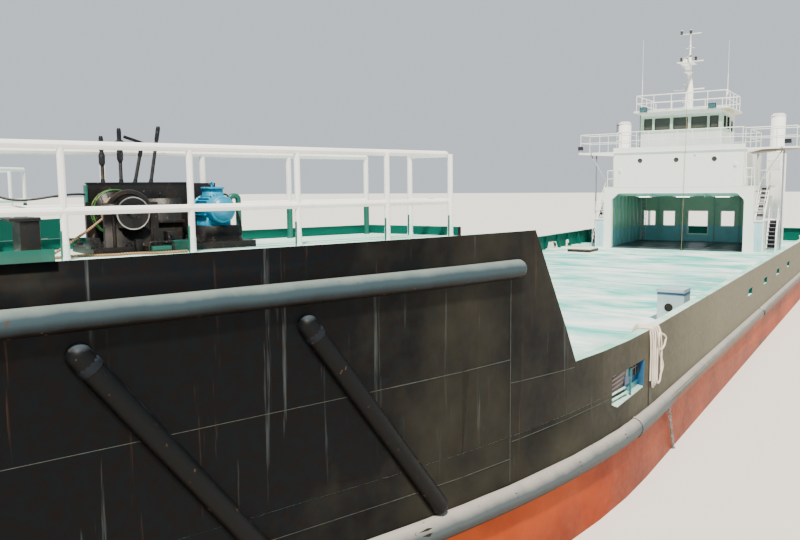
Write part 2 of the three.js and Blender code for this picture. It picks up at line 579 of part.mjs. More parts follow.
// The leaf turns on a pin along its outer edge, which reaches from the sill to the head
const LEAF = { clear: 0.015, edge: 0.03, thick: 0.05, pinR: 0.02, frame: 0.2, light: 0.65 };
function wheelhouseDoor() {
  const { clear, edge, thick, pinR, frame, light } = LEAF;
  const width = SIDE_DOOR.y[1] - SIDE_DOOR.y[0] - edge - clear;
  const height = SIDE_DOOR.z[1] - SIDE_DOOR.z[0] - 2 * clear;
  const leaf = box([-thick, 0], [0, width], [0, height]);
  const pane = box(about(0, 1), [frame, width - frame], [height - frame - light, height - frame]);
  const handle = box([-SUNK, 0.07], [width - 0.12, width - 0.08], [0.9, 1]);
  const pin = bar([0, 0, GAP - clear], [0, 0, height + clear - GAP], pinR, 8);
  return join(cut(leaf, pane), handle, pin);
}
for (const [name, side] of Object.entries(SIDES)) {
  const hinge = [side * WHEELHOUSE.half, SIDE_DOOR.y[0] + LEAF.edge, SIDE_DOOR.z[0] + LEAF.clear];
  const door = piece(`wheelhouse_door_${name}`, wheelhouseDoor(), 'white', barge, hinge);
  if (side < 0) mirrored(door);
}

// Wheelhouse roof, its edges chamfered from below into a visor all round
const ROOF = {
  half: 2.76, front: 17.92, rear: 22.65,
  foot: WHEELHOUSE.top + GAP, lip: 11.84, top: 11.93, flat: 0.04,
};
function roof() {
  const { half, front, rear, foot, lip, top, flat } = ROOF;
  const seat = WHEELHOUSE.half + flat;
  const seen = [[-half, top], [-half, lip], [-seat, foot], [seat, foot], [half, lip], [half, top]];
  const fore = WHEELHOUSE.front - flat;
  const aft = WHEELHOUSE.rear + flat;
  const side = [[front, top], [front, lip], [fore, foot], [aft, foot], [rear, lip], [rear, top]];
  return along(seen, front, rear).intersect(across(side, -half, half));
}
piece('wheelhouse_roof', roof(), 'white');

// Mast: a stout column that tapers to a thin pole, with three yards, lamps and two forward platforms
const MAST = { y: 20.3, foot: ROOF.top + GAP };
const MAST_STAGES = [
  { from: MAST.foot, to: 13.27, r: 0.26, rEnd: 0.25, sides: 14 },
  { from: 13.26, to: 14.3, r: 0.25, rEnd: 0.12, sides: 14 },
  { from: 14.29, to: 15.45, r: 0.12, rEnd: 0.08, sides: 10 },
  { from: 15.44, to: 16.8, r: 0.045, rEnd: 0.04, sides: 8 },
];
const YARDS = [
  { z: 13.32, half: 0.9, r: 0.04, lamps: [] },
  { z: 15.03, half: 0.8, r: 0.04, lamps: [-0.52, 0.34] },
  { z: 16.72, half: 0.62, r: 0.03, lamps: [-0.55, 0] },
];
const PLATFORMS = [
  { z: 14.86, half: 0.42, length: 1.15, drop: 0.42 },
  { z: 14.36, half: 0.2, length: 0.6, drop: 0.3 },
];
const SCANNER = { y: MAST.y - 0.85, z: 15.05, half: 0.6, depth: 0.06, turn: -0.99, pedestalR: 0.13 };
function mast() {
  const { y } = MAST;
  const parts = MAST_STAGES.map(({ from, to, r, rEnd, sides }) =>
    bar([0, y, from], [0, y, to], r, sides, rEnd));
  for (const { z, half, r, lamps } of YARDS) {
    parts.push(bar([-half, y, z], [half, y, z], r));
    lamps.forEach((x) => parts.push(bar([x, y, z], [x, y, z + 0.26], 0.07, 8)));
  }
  for (const { z, half, length, drop } of PLATFORMS) {
    parts.push(box(about(0, half), [y - length, y], [z - 0.05, z]));
    const gusset = [[y - length + 0.1, z - 0.02], [y, z - drop], [y, z - 0.02]];
    parts.push(across(gusset, -0.03, 0.03));
  }
  const top = PLATFORMS[0].z;
  parts.push(bar([0, SCANNER.y, top - SUNK], [0, SCANNER.y, SCANNER.z - GAP], SCANNER.pedestalR, 12));
  return join(parts);
}
piece('mast', mast(), 'white');

function scanner() {
  const { half, depth } = SCANNER;
  return join(box(about(0, half), about(0, depth), [0.06, 0.16]), bar([0, 0, 0], [0, 0, 0.1], 0.07, 12));
}
piece('radar_scanner', scanner(), 'white', barge, [0, SCANNER.y, SCANNER.z]).rotation.z = SCANNER.turn;

// Funnels on casings that stand on the main deck beside the house
const FUNNEL = { y: 23, r: 0.42, top: 11.75, crown: 0.12, casingY: [21.9, 23.9], casingTop: 9.3 };
function funnel() {
  const { y, r, top, crown, casingY, casingTop } = FUNNEL;
  const casing = box(about(0, r), casingY.map((v) => v - y), [DECK + GAP, casingTop]);
  const stack = bar([0, 0, casingTop - SUNK], [0, 0, top - crown], r, 16);
  return join(casing, stack, bar([0, 0, top - crown - SUNK], [0, 0, top], r, 16, r * 0.75));
}
for (const [name, side] of Object.entries(SIDES)) {
  piece(`funnel_${name}`, funnel(), 'white', barge, [side * (HOUSE.half + GAP + FUNNEL.r), FUNNEL.y, 0]);
}

// Stairs beside the house: a steep lower flight, a landing with guard rails and an upper flight
const STAIRS = {
  landing: 5.27, plate: 0.06, front: 17.55, aft: 20.4,
  lowerX: [4.98, 5.52], lowerY: [18.4, 19.4],
  upperX: [4.43, 4.93], upperY: [17.75, BOAT_DECK.galleryY[0] - 0.04 - GAP],
};
const TREAD = { half: 0.11, thick: 0.04, inset: 0.03, steps: 8 };
const STRINGER = { thick: 0.05, inset: 0.01, foot: 0.3, head: 0.04, depth: 0.25, under: 0.03 };
const HANDRAIL = { r: 0.02, postR: 0.017, height: 0.9, guard: 1.06, guardMid: 0.55, inset: 0.035 };
function flight([x0, x1], [y0, y1], z0, z1) {
  const parts = [];
  const rise = (z1 - z0) / TREAD.steps;
  const slope = (z1 - z0) / (y1 - y0);
  for (let i = 1; i < TREAD.steps; i += 1) {
    const y = y0 + (y1 - y0) * i / TREAD.steps;
    const z = z0 + rise * i;
    parts.push(box([x0 + TREAD.inset, x1 - TREAD.inset], about(y, TREAD.half), [z - TREAD.thick, z]));
  }
  const { thick, inset, foot, head, depth, under } = STRINGER;
  const side = [[y0, z0], [y0 + foot, z0], [y1 + head, z1 - depth], [y1 + head, z1 - under],
    [y1 - 0.08, z1 - under]];
  for (const x of [x0 + inset, x1 - inset - thick]) parts.push(across(side, x, x + thick));
  const { r, postR, height } = HANDRAIL;
  for (const x of [x0 + HANDRAIL.inset, x1 - HANDRAIL.inset]) {
    const [low, high] = [y0 + 0.14, y1 - 0.02].map((y) => [x, y, z0 + slope * (y - y0) - 0.1]);
    const top = ([px, y, z]) => [px, y, z + height];
    parts.push(bar(low, top(low), postR), bar(high, top(high), postR), bar(top(low), top(high), r));
  }
  return join(parts);
}

// A level guard rail of two square bars between two posts
function guardRail([ax, ay], [bx, by], foot) {
  const { r, postR, guard, guardMid } = HANDRAIL;
  const span = (a, b) => [Math.min(a, b) - r, Math.max(a, b) + r];
  const bars = [guardMid, guard].map((rise) => box(span(ax, bx), span(ay, by), about(foot + rise, r)));
  const posts = [[ax, ay], [bx, by]].map(([x, y]) =>
    box(about(x, postR), about(y, postR), [foot - SUNK, foot + guard]));
  return join(bars, posts);
}

function stairs() {
  const { landing, plate, front, aft, lowerX, upperX, lowerY, upperY } = STAIRS;
  const foot = DECK + GAP;
  const split = upperX[1] + 0.05;
  const step = lowerY[1] + 0.02;
  const outline = [[upperX[0], front], [split, front], [split, step], [lowerX[1], step], [lowerX[1], aft],
    [upperX[0], aft]];
  const plates = raise(polygon(outline), landing - plate, landing);
  const post = bar([lowerX[1] - 0.1, aft - 0.1, foot], [lowerX[1] - 0.1, aft - 0.1, landing - SUNK], 0.04);
  const [inner, outer, edge] = [upperX[0] + 0.04, split - 0.03, lowerX[1] - 0.03];
  const guards = [guardRail([inner, front + 0.04], [outer, front + 0.04], landing),
    guardRail([split, aft - 0.04], [edge, aft - 0.04], landing)];
  const lower = flight(lowerX, lowerY, foot, landing);
  const upper = flight(upperX, upperY, landing - SUNK, HOUSE.beamTop);
  return join(lower, plates, upper, post, guards);
}
piece('stairs_port', stairs(), 'white');
mirrored(piece('stairs_starboard', stairs(), 'white'));

// Deck lockers beside the bay's mouth, under the stair landings, with a door frame forward
const LOCKER = { x: [HOUSE.half + GAP, 4.96], y: [17.58, 18.35], frame: 0.06, depth: 0.03 };
function locker() {
  const top = STAIRS.landing - STAIRS.plate - GAP;
  const foot = DECK + GAP;
  const { x, y, frame, depth } = LOCKER;
  const panel = box([x[0] + frame, x[1] - frame], [y[0] - 1, y[0] + depth], [foot + frame, top - frame]);
  return cut(box(x, y, [foot, top]), panel);
}
piece('locker_port', locker(), 'white');
mirrored(piece('locker_starboard', locker(), 'white'));

// Rails of the boat deck: along its sides from the funnels aft, across its aft end, and forward
const SMALL_RAIL = { r: 0.03, postR: 0.024, height: 1.16, mid: 0.62 };
const BOAT_RAIL = { height: 1.02, mid: 0.5, edge: 0.1, from: 24.1, foreEnd: 19.6, foreX: 4.22 };
const raisedTo = (z) => ([x, y]) => [x, y, z];
function boatRail() {
  const { edge, from } = BOAT_RAIL;
  const side = HOUSE.half - edge;
  const aft = BOAT_DECK.aft - edge;
  const corners = [[side, from], [side, aft], [-side, aft], [-side, from]];
  const posts = [...corners, [side, 25.8], [-side, 25.8], [2.15, aft], [0, aft], [-2.15, aft]];
  const up = raisedTo(HOUSE.beamTop + GAP);
  return squareRail(corners.map(up), posts.map(up), { ...SMALL_RAIL, ...BOAT_RAIL });
}
piece('boat_rail_aft', boatRail(), 'white');

function foreRail() {
  const { edge, foreEnd, foreX } = BOAT_RAIL;
  const front = HOUSE.front + edge;
  const corners = [[UPPER.half + 0.05, front], [foreX, front], [foreX, foreEnd]];
  const posts = [...corners, [foreX, (front + foreEnd) / 2]];
  const up = raisedTo(HOUSE.beamTop + GAP);
  return squareRail(corners.map(up), posts.map(up), { ...SMALL_RAIL, ...BOAT_RAIL });
}
piece('boat_rail_port', foreRail(), 'white');
mirrored(piece('boat_rail_starboard', foreRail(), 'white'));

// Rail of the bridge deck, out along the wings, and open aft where the ladder comes up
const LADDER = { half: 0.22, r: 0.025, rungR: 0.015, off: 0.16, rise: 0.28, above: 0.95 };
const mirroredPath = (points) => [...points, ...flipped(-1, [...points].reverse())];
function bridgeRail() {
  const edge = 0.1;
  const tip = BRIDGE.tip - edge;
  const side = UPPER.half - edge;
  const [fore, aft] = [HOUSE.front + edge, UPPER.rear];
  const [wingFore, wingAft] = [BRIDGE.wingY[0] + edge, BRIDGE.wingY[1] - edge];
  const gate = LADDER.half + 0.2;
  const corners = [[gate, aft], [side, aft], [side, wingAft], [tip, wingAft], [tip, wingFore],
    [side, wingFore], [side, fore]];
  const posts = [[gate, aft], [2, aft], [side, aft], [side, 22.4], [side, wingAft], [5.1, wingAft],
    [tip, wingAft], [tip, wingFore], [5.1, wingFore], [side, wingFore], [side, fore],
    [2.45, fore], [1.72, fore], [0.87, fore]];
  const up = raisedTo(BRIDGE.floor + GAP);
  return squareRail(mirroredPath(corners).map(up), [...mirroredPath(posts), [0, fore]].map(up), SMALL_RAIL);
}
piece('bridge_rail', bridgeRail(), 'white');

// Ladder on the aft side of the upper storey, from the boat deck to the bridge deck
function bridgeLadder() {
  const { half, r, rungR, off, rise, above } = LADDER;
  const y = UPPER.rear + BRIDGE.aft + off;
  const foot = HOUSE.beamTop + GAP;
  const head = BRIDGE.floor + above;
  const parts = [-half, half].map((x) => bar([x, y, foot], [x, y, head], r, 8));
  for (let z = foot + rise; z < head - rise; z += rise) parts.push(bar([-half, y, z], [half, y, z], rungR));
  const rest = UPPER.rear + BRIDGE.aft + GAP;
  for (const x of [-half, half]) parts.push(box(about(x, rungR), [rest, y], about(BRIDGE.floor - 0.06, 0.04)));
  return join(parts);
}
piece('bridge_ladder', bridgeLadder(), 'white');

function roofRail() {
  const side = ROOF.half - 0.14;
  const [fore, aft] = [ROOF.front + 0.14, ROOF.rear - 0.14];
  const corners = [[-side, fore], [side, fore], [side, aft], [-side, aft], [-side, fore]];
  const posts = corners.slice(0, 4);
  for (const part of [-1 / 3, 1 / 3]) {
    const y = (fore + aft) / 2 + (aft - fore) / 2 * part;
    posts.push([side * part, fore], [side * part, aft], [-side, y], [side, y]);
  }
  const up = raisedTo(ROOF.top + GAP);
  return squareRail(corners.map(up), posts.map(up), { ...SMALL_RAIL, height: 0.95, mid: 0.48 });
}
piece('roof_rail', roofRail(), 'white');

// Deck hatch lid and the vent trunk with its lid, each hinged along one edge
function hatchLid() {
  const [width, length] = [HATCH.x, HATCH.y].map(([a, b]) => b - a);
  return box(about(0, width / 2), [-length, 0], [0, HATCH.lid]);
}
const hatchHinge = [(HATCH.x[0] + HATCH.x[1]) / 2, HATCH.y[1], DECK + HATCH.coaming + GAP];
piece('deck_hatch_lid', hatchLid(), 'green', barge, hatchHinge);

const VENT = { x: 6, y: -7.4, half: 0.38, wall: 0.05, height: 0.87, lid: 0.08, lap: 0.04 };
function ventTrunk() {
  const { x, y, half, wall, height } = VENT;
  const outer = box(about(x, half), about(y, half), [DECK + GAP, DECK + height]);
  return cut(outer, box(about(x, half - wall), about(y, half - wall), [DECK + 0.1, OVER]));
}
piece('vent_trunk', ventTrunk(), 'steel');
const ventLid = box([-2 * VENT.half - VENT.lap, 0], about(0, VENT.half + VENT.lap), [0, VENT.lid]);
piece('vent_lid', ventLid, 'steel', barge, [VENT.x + VENT.half, VENT.y, DECK + VENT.height + GAP]);

// Propellers and rudders under the raked stern
const PROPELLER = {
  r: 0.66, hubR: 0.14, hub: 0.42,
  blades: 4, pitch: 0.5, root: 0.07, belly: 0.34, thick: 0.04,
};
function propeller() {
  const { r, hubR, hub, blades, pitch, root, belly, thick } = PROPELLER;
  const parts = [bar([0, 0, 0], [0, hub, 0], hubR, 12, hubR * 0.6)];
  const outline = new THREE.Shape();
  outline.moveTo(-root, 0);
  outline.quadraticCurveTo(-belly, r * 0.75, 0, r);
  outline.quadraticCurveTo(belly, r * 0.75, root, 0);
  for (let i = 0; i < blades; i += 1) {
    const blade = extrude(outline, thick, 5).translate(0, 0, -thick / 2);
    blade.rotateX(Math.PI / 2);
    blade.rotateZ(pitch);
    blade.rotateY(2 * Math.PI * i / blades);
    parts.push(solid(blade.translate(0, hub / 2, 0)));
  }
  return join(parts);
}
const RUDDER = {
  y: 27.5, foot: 0.2, top: 1.58,
  ahead: 0.42, behind: 0.95, half: 0.07, tail: 0.02, stockR: 0.09,
};
function rudder() {
  const { foot, top, ahead, behind, half, tail, stockR } = RUDDER;
  const side = [[half, -ahead * 0.4], [half, 0.2], [tail, behind]];
  const outline = polygon([[0, -ahead], ...side, ...flipped(-1, side.reverse())]);
  const stock = bar([0, 0, foot + 0.3], [0, 0, BOTTOM.counter - GAP], stockR, 12);
  return join(raise(outline, foot, top), stock);
}
for (const [name, side] of Object.entries(SIDES)) {
  piece(`propeller_${name}`, propeller(), 'bronze', barge, [side * SHAFT.x, SHAFT.end + GAP, SHAFT.z]);
  piece(`rudder_${name}`, rudder(), 'hull', barge, [side * SHAFT.x, RUDDER.y, 0]);
}

export default barge;
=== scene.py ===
"""Dresses the river barge: paint, pipe rails, ropes, deck gear, glazing and fittings.

Sizes are in metres of the real barge. The model is half that size, so each finished piece is
halved about the origin. +X is port, +Y is aft, +Z is up.
"""

import json
from math import atan, cos, pi, radians, sin

import bpy
from mathutils import Matrix, Vector

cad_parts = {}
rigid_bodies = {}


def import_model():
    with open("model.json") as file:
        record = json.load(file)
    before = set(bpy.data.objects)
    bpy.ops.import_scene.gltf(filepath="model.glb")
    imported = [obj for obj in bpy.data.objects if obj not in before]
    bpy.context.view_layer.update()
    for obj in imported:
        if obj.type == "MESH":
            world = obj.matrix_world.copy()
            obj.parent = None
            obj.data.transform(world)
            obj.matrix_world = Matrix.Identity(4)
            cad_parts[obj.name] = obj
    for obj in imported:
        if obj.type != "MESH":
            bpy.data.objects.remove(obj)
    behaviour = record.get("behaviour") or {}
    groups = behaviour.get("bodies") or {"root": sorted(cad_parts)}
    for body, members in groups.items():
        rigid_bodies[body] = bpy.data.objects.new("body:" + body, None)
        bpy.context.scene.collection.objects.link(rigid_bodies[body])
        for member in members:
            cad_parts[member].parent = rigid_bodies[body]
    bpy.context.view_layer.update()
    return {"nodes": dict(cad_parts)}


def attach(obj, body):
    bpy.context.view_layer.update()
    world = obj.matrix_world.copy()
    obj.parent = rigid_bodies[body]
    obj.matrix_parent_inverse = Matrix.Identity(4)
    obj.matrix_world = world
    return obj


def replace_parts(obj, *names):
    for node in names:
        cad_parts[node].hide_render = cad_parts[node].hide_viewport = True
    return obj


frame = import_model()

# Camera and light. The barge is seen from a bank or pontoon off its port bow, a little above the
# wing deck. The floor lies at the waterline, and a broad high sun stands ahead of the port beam.
MODEL = 0.5
WATERLINE, FLOOR_WIDE = 1.0, 600
EYE = (11.457, -30.419, 7.402)
YAW, PITCH, ROLL = 0.582, 0.109, -0.010
LENS, SENSOR = 34.14, 36.0
SUN_FROM, SUN_POWER, SUN_WIDE, SKY_POWER = (0.27, -0.42, 0.87), 9.0, radians(4), 0.95
SKY, SUN, FLOOR = "#dfe9f2", "#fff4e2", "#d9d6cf"


def linear(code):
    """An sRGB hex colour as linear red, green, blue and alpha."""
    parts = [int(code[i : i + 2], 16) / 255 for i in (1, 3, 5)]
    return [c / 12.92 if c <= 0.04045 else ((c + 0.055) / 1.055) ** 2.4 for c in parts] + [1.0]


def add(mat, kind, inputs=(), out=None, **settings):
    """Adds a node: its settings, then its inputs, each a value or the output that feeds it, by
    name or in order. Gives back the named output, or else the first that is in use."""
    made = mat.node_tree.nodes.new("ShaderNode" + kind)
    for key, value in settings.items():
        setattr(made, key, value)
    for socket, value in inputs.items() if isinstance(inputs, dict) else enumerate(inputs):
        if isinstance(value, bpy.types.NodeSocket):
            mat.node_tree.links.new(value, made.inputs[socket])
        else:
            made.inputs[socket].default_value = value
    return made.outputs[out] if out else next(o for o in made.outputs if o.enabled)


def coats(mat, ground, *layers):
    """Lays coats of colour over a ground, each with the share that it covers. A colour is a hex
    code or the output that feeds it."""
    for share, colour in layers:
        under, over = (linear(tone) if isinstance(tone, str) else tone for tone in (ground, colour))
        ground = add(mat, "Mix", {"Factor": share, "A": under, "B": over}, data_type="RGBA")
    return ground


def feed(surface, **sockets):
    """Sets the surface shader's sockets, each to a value or to the output that feeds it."""
    for name, value in sockets.items():
        socket = surface.inputs[name.replace("_", " ")]
        if isinstance(value, bpy.types.NodeSocket):
            surface.id_data.links.new(value, socket)
        else:
            socket.default_value = value


def blank(name):
    """A new material, its surface shader, and the output that gives the place on the piece."""
    mat = bpy.data.materials.new(name)
    mat.use_nodes = True
    return mat, mat.node_tree.nodes["Principled BSDF"], add(mat, "TexCoord", out="Object")


def aim_camera():
    right = Vector((cos(YAW), sin(YAW), 0))
    ahead = Vector((-sin(YAW) * cos(PITCH), cos(YAW) * cos(PITCH), -sin(PITCH)))
    up = right.cross(ahead)
    tilted = right * cos(ROLL) + up * sin(ROLL)
    upright = up * cos(ROLL) - right * sin(ROLL)
    turn = Matrix((tilted, upright, -ahead)).transposed().to_4x4()
    data = bpy.data.cameras.new("camera")
    data.lens, data.sensor_width = LENS, SENSOR
    data.clip_start, data.clip_end = 0.05, 500
    camera = bpy.data.objects.new("camera", data)
    camera.matrix_world = Matrix.Translation(Vector(EYE) * MODEL) @ turn
    bpy.context.collection.objects.link(camera)
    bpy.context.scene.camera = camera


def light_scene():
    world = bpy.data.worlds.new("studio")
    world.use_nodes = True
    background = world.node_tree.nodes["Background"]
    background.inputs["Color"].default_value = linear(SKY)
    background.inputs["Strength"].default_value = SKY_POWER
    bpy.context.scene.world = world
    data = bpy.data.lights.new("sun", "SUN")
    data.energy, data.angle = SUN_POWER, SUN_WIDE
    data.color = linear(SUN)[:3]
    sun = bpy.data.objects.new("sun", data)
    sun.rotation_euler = Vector(SUN_FROM).to_track_quat("Z", "Y").to_euler()
    bpy.context.collection.objects.link(sun)


def lay_floor():
    bpy.ops.object.select_all(action="DESELECT")
    bpy.ops.mesh.primitive_plane_add(size=FLOOR_WIDE, location=(0, 0, WATERLINE * MODEL))
    floor = bpy.context.object
    floor.name = "floor"
    bpy.ops.object.transform_apply(location=True, rotation=True, scale=True)
    mat, surface, _ = blank("matt_studio_floor")
    feed(surface, Base_Color=linear(FLOOR), Roughness=0.85)
    floor.data.materials.append(mat)


aim_camera()
light_scene()
lay_floor()

# Mooring rope. A three-strand polyamide rope, made up as a hank of five bights and laid over the
# port bulwark's cap, with its long bights outboard and its short ones on the deck side. Two of
# them swing out aft. Each list below has one value for each bight.
ROPE = 0.042
HANK_Y = (-14.07, -13.63)
HANK_TURNS, HANK_PITCH, HANK_LAYER = 5, 0.038, 0.042
HANK_OUT, HANK_IN, HANK_SEAT = 7.1006, 6.8794, 4.3006
HANK_LONG_TO, HANK_STEPS = 3.7, 8
HANK_FEET = (2.98, 3.06, 3.05, 3.86, 3.2)
HANK_IN_FEET = (3.83, 3.87, 3.84, 3.89, 3.86)
HANK_HALF = (0.165, 0.125, 0.13, 0.07, 0.12)
HANK_SWING = (0.0, 0.0, 0.32, 0.4, 0.0)
ROPE_CREAM, ROPE_SHADE = "#f6efe6", "#c4b49c"


def smooth_line(points, step):
    """Points along a smooth curve through the given ones, about a step apart."""
    pts = [Vector(p) for p in points]
    ends = [pts[0] * 2 - pts[1], *pts, pts[-1] * 2 - pts[-2]]
    line = []
    for a, b, c, d in zip(ends, ends[1:], ends[2:], ends[3:]):
        parts = max(2, round((c - b).length / step))
        # Centripetal spacing keeps the curve from looping at close points
        ta = 0.0
        tb = ta + max((b - a).length, 1e-6) ** 0.5
        tc = tb + max((c - b).length, 1e-6) ** 0.5
        td = tc + max((d - c).length, 1e-6) ** 0.5
        for i in range(parts):
            t = tb + (tc - tb) * i / parts
            p = a.lerp(b, (t - ta) / (tb - ta))
            q = b.lerp(c, (t - tb) / (tc - tb))
            r = c.lerp(d, (t - tc) / (td - tc))
            u = p.lerp(q, (t - ta) / (tc - ta))
            v = q.lerp(r, (t - tb) / (td - tb))
            line.append(u.lerp(v, (t - tb) / (tc - tb)))
    return [*line, pts[-1]]


def line_length(line):
    return sum((b - a).length for a, b in zip(line, line[1:]))


def curve(name, line, radius, sides=12, closed=False, size=MODEL, shares=None):
    """A round bar along a line, as a curve. shares gives each point's share of the radius."""
    data = bpy.data.curves.new(name, "CURVE")
    data.dimensions = "3D"
    data.bevel_depth = radius * size
    data.bevel_resolution = max(0, sides // 4 - 1)
    data.use_fill_caps = not closed
    spline = data.splines.new("POLY")
    spline.points.add(len(line) - 1)
    for i, (point, place) in enumerate(zip(spline.points, line)):
        point.co = (*(Vector(place) * size), 1)
        point.radius = shares[i] if shares else 1
    spline.use_cyclic_u = closed
    piece = bpy.data.objects.new(name, data)
    bpy.context.collection.objects.link(piece)
    return piece


def laid_rope(name, colour, shade, thick):
    """Laid fibre rope: its strands wind round it, so light catches a slanting row of ridges.
    The lay is drawn two rope widths long. The grooves between the strands are darkened as painted shade, and
    dirt darkens it in patches."""
    mat, surface, spot = blank(name)
    lay = add(mat, "TexWave", {"Vector": spot, "Scale": 0.5 / (thick * MODEL), "Distortion": 0.6,
                               "Detail": 1.0}, "Fac", wave_type="BANDS", bands_direction="DIAGONAL")
    fibre = add(mat, "TexNoise", {"Vector": spot, "Scale": 160, "Detail": 3})
    grime = add(mat, "TexNoise", {"Vector": spot, "Scale": 9, "Detail": 4})
    # Painted shade: the grooves of the lay take the shade colour, and noise dirt darkens patches of it
    both = add(mat, "Math", [lay, grime], operation="MULTIPLY")
    tone = add(mat, "MapRange", {"Value": both, "From Min": 0.05, "From Max": 0.5})
    paint = coats(mat, shade, (tone, colour))
    height = add(mat, "Math", [fibre, 0.35, lay], operation="MULTIPLY_ADD")
    ridges = add(mat, "Bump", {"Height": height, "Strength": 0.6, "Distance": thick * MODEL * 0.15})
    feed(surface, Base_Color=paint, Normal=ridges, Roughness=0.88, Sheen_Weight=0.15)
    return mat


def hung_cord(name, line, thick, mat, sides, far_end, stiffness):
    """Lays a cord along a line as a round bar and fixes it to the hull."""
    piece = curve(name, line, thick / 2, sides)
    piece.data.materials.append(mat)
    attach(piece, "hull_body")
    round(line_length(line) * MODEL, 3)
    return piece


def hank_line():
    """The rope's centreline: up outboard, over the cap, down and round inboard, back over the
    cap, and down and round outboard into the next layer."""
    middle = sum(HANK_Y) / 2
    column = (HANK_Y[1] - HANK_Y[0] - ROPE) / (2 * HANK_TURNS - 1)
    crown = HANK_SEAT + ROPE / 2 + 0.003
    line = []
    for k in range(HANK_TURNS):
        half = HANK_HALF[k]
        out = HANK_OUT + ROPE / 2 + 0.002 + HANK_PITCH * k
        inner = HANK_IN - ROPE / 2 - 0.002 - HANK_LAYER * k
        over = HANK_Y[1] - ROPE / 2 - column * k - middle
        foot, in_foot, swing = HANK_FEET[k], HANK_IN_FEET[k], HANK_SWING[k]
        for side in (-1, 1):
            low = HANK_FEET[k - 1] if side < 0 and k else foot
            out_by, aft_by = (swing * 0.1, swing) if side > 0 else (0.0, 0.0)
            long = low < HANK_LONG_TO
            top = 3.98 if long else 4.19
            shares = (0.6, 1.0, 0.6, 0.15) if long else (0.9, 1.0, 0.8, 0.4)
            legs = [(out + out_by * share, side * half + aft_by * share,
                     low + half + 0.03 + (top - low - half) * i / 4) for i, share in enumerate(shares)]
            legs += [(out, side * over, 4.14)] if long else []
            legs += [
                (out - 0.012, side * over, 4.24),
                ((out + 7.1) / 2, side * over, crown + 0.012 * k), (7.06, side * over, crown),
                (6.92, side * over, crown), ((inner + 6.88) / 2, side * over, crown - 0.01 + 0.012 * k),
                (inner + 0.006, side * over, 4.22), (inner, side * over, 4.14),
                (inner, side * half, in_foot + half + 0.02),
            ]
            turned = legs if side < 0 else legs[::-1]
            if side > 0:
                for i in range(1, HANK_STEPS):
                    angle = pi * i / HANK_STEPS
                    line.append((inner, middle - half * cos(angle), in_foot + half - half * sin(angle)))
            line += [(x, middle + y, z) for x, y, z in turned]
        if k < HANK_TURNS - 1:
            after = HANK_HALF[k + 1]
            for i in range(1, HANK_STEPS):
                share = i / HANK_STEPS
                wide = half + (after - half) * share
                drift = swing * (0.6 if foot < HANK_LONG_TO else 0.9) * (1 - share)
                line.append((out + HANK_PITCH * share + drift * 0.1, middle + drift + wide * cos(pi * share),
                             foot + half - wide * sin(pi * share)))
    return smooth_line(line, 0.03)


rope_cream = laid_rope("bleached_polyamide_rope", ROPE_CREAM, ROPE_SHADE, ROPE)
hank = hung_cord("mooring_rope", hank_line(), ROPE, rope_cream, 12, "bare", "limp")
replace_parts(hank, "rope_hank")

# Hull. Welded steel plate under rolled ship's paint: black sides that dust and sun have turned
# brown aft of the bow wings, red antifouling below the fender, and a mint deck worn to pale
# patches. The solids' plates are joined at their edges so that the curved side shades smoothly.
BOW, STERN, DECK = -29.0, 29.0, 3.4
CHINE, SHOULDER, QUARTER = -22.0, -14.0, 20.0
BOW_HALF, CHINE_HALF, HALF_BREADTH, STERN_HALF = 3.3, 5.72, 7.1, 6.6
BELT_Z, BELT_R, WING_COAMING_Z = 2.4, 0.2, 6.7
DUST_FROM, DUST_FULL = -19.0, -6.6
BLACK_FRESH, BLACK_WARM, DUST = "#080c10", "#0e0908", "#66624f"
RUN_PALE, RUN_RUST = "#8f9a9c", "#4e3529"
RED_TOP, RED_DEEP = "#a84414", "#741f04"
MINT, MINT_WORN, MINT_DIRTY, GREEN = "#3fbfb1", "#eefaf8", "#4a9c92", "#065448"
SIDES = (("port", 1), ("starboard", -1))


def wall_at(y):
    """The half-breadth of the hull's wall at a station along it."""
    if y < CHINE:
        return BOW_HALF + (CHINE_HALF - BOW_HALF) * (y - BOW) / (CHINE - BOW)
    if y < SHOULDER:
        return HALF_BREADTH - (HALF_BREADTH - CHINE_HALF) * ((y - SHOULDER) / (CHINE - SHOULDER)) ** 2
    if y < QUARTER:
        return HALF_BREADTH
    return HALF_BREADTH - (HALF_BREADTH - STERN_HALF) * (y - QUARTER) / (STERN - QUARTER)


def on_wall(y, z, side=1, off=0.0):
    return (side * (wall_at(y) + off), y, z)


def only(*pieces):
    """Selects these pieces alone, and makes the first one active."""
    bpy.ops.object.select_all(action="DESELECT")
    for piece in pieces:
        piece.select_set(True)
    bpy.context.view_layer.objects.active = pieces[0]


def applied(piece):
    """Applies a piece's place, turn and size to its mesh."""
    only(piece)
    bpy.ops.object.transform_apply(location=True, rotation=True, scale=True)
    return piece


def edit(action):
    """Goes into edit mode on the active piece with everything selected or not."""
    bpy.ops.object.mode_set(mode="EDIT")
    bpy.ops.mesh.select_all(action=action)


def leave_edit():
    bpy.ops.object.mode_set(mode="OBJECT")


def joined(name, pieces):
    only(*pieces)
    if len(pieces) > 1:
        bpy.ops.object.join()
    pieces[0].name = pieces[0].data.name = name
    return pieces[0]


def place(name, pieces, mat, body="hull_body", smooth=35):
    """Finishes a piece: joins its parts, brings it to the model's size, shades and paints it, and
    hangs it on its body."""
    piece = joined(name, pieces if isinstance(pieces, list) else [pieces])
    piece.matrix_world = Matrix.Scale(MODEL, 4) @ piece.matrix_world
    applied(piece)
    bpy.ops.object.shade_smooth_by_angle(angle=radians(smooth))
    piece.data.materials.clear()
    piece.data.materials.append(mat)
    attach(piece, body)
    return piece


def pipe(name, line, radius, sides=16, closed=False, shares=None):
    """A pipe or bar along a line, as a mesh."""
    only(curve(name, line, radius, sides, closed, 1, shares))
    bpy.ops.object.convert(target="MESH")
    return bpy.context.object


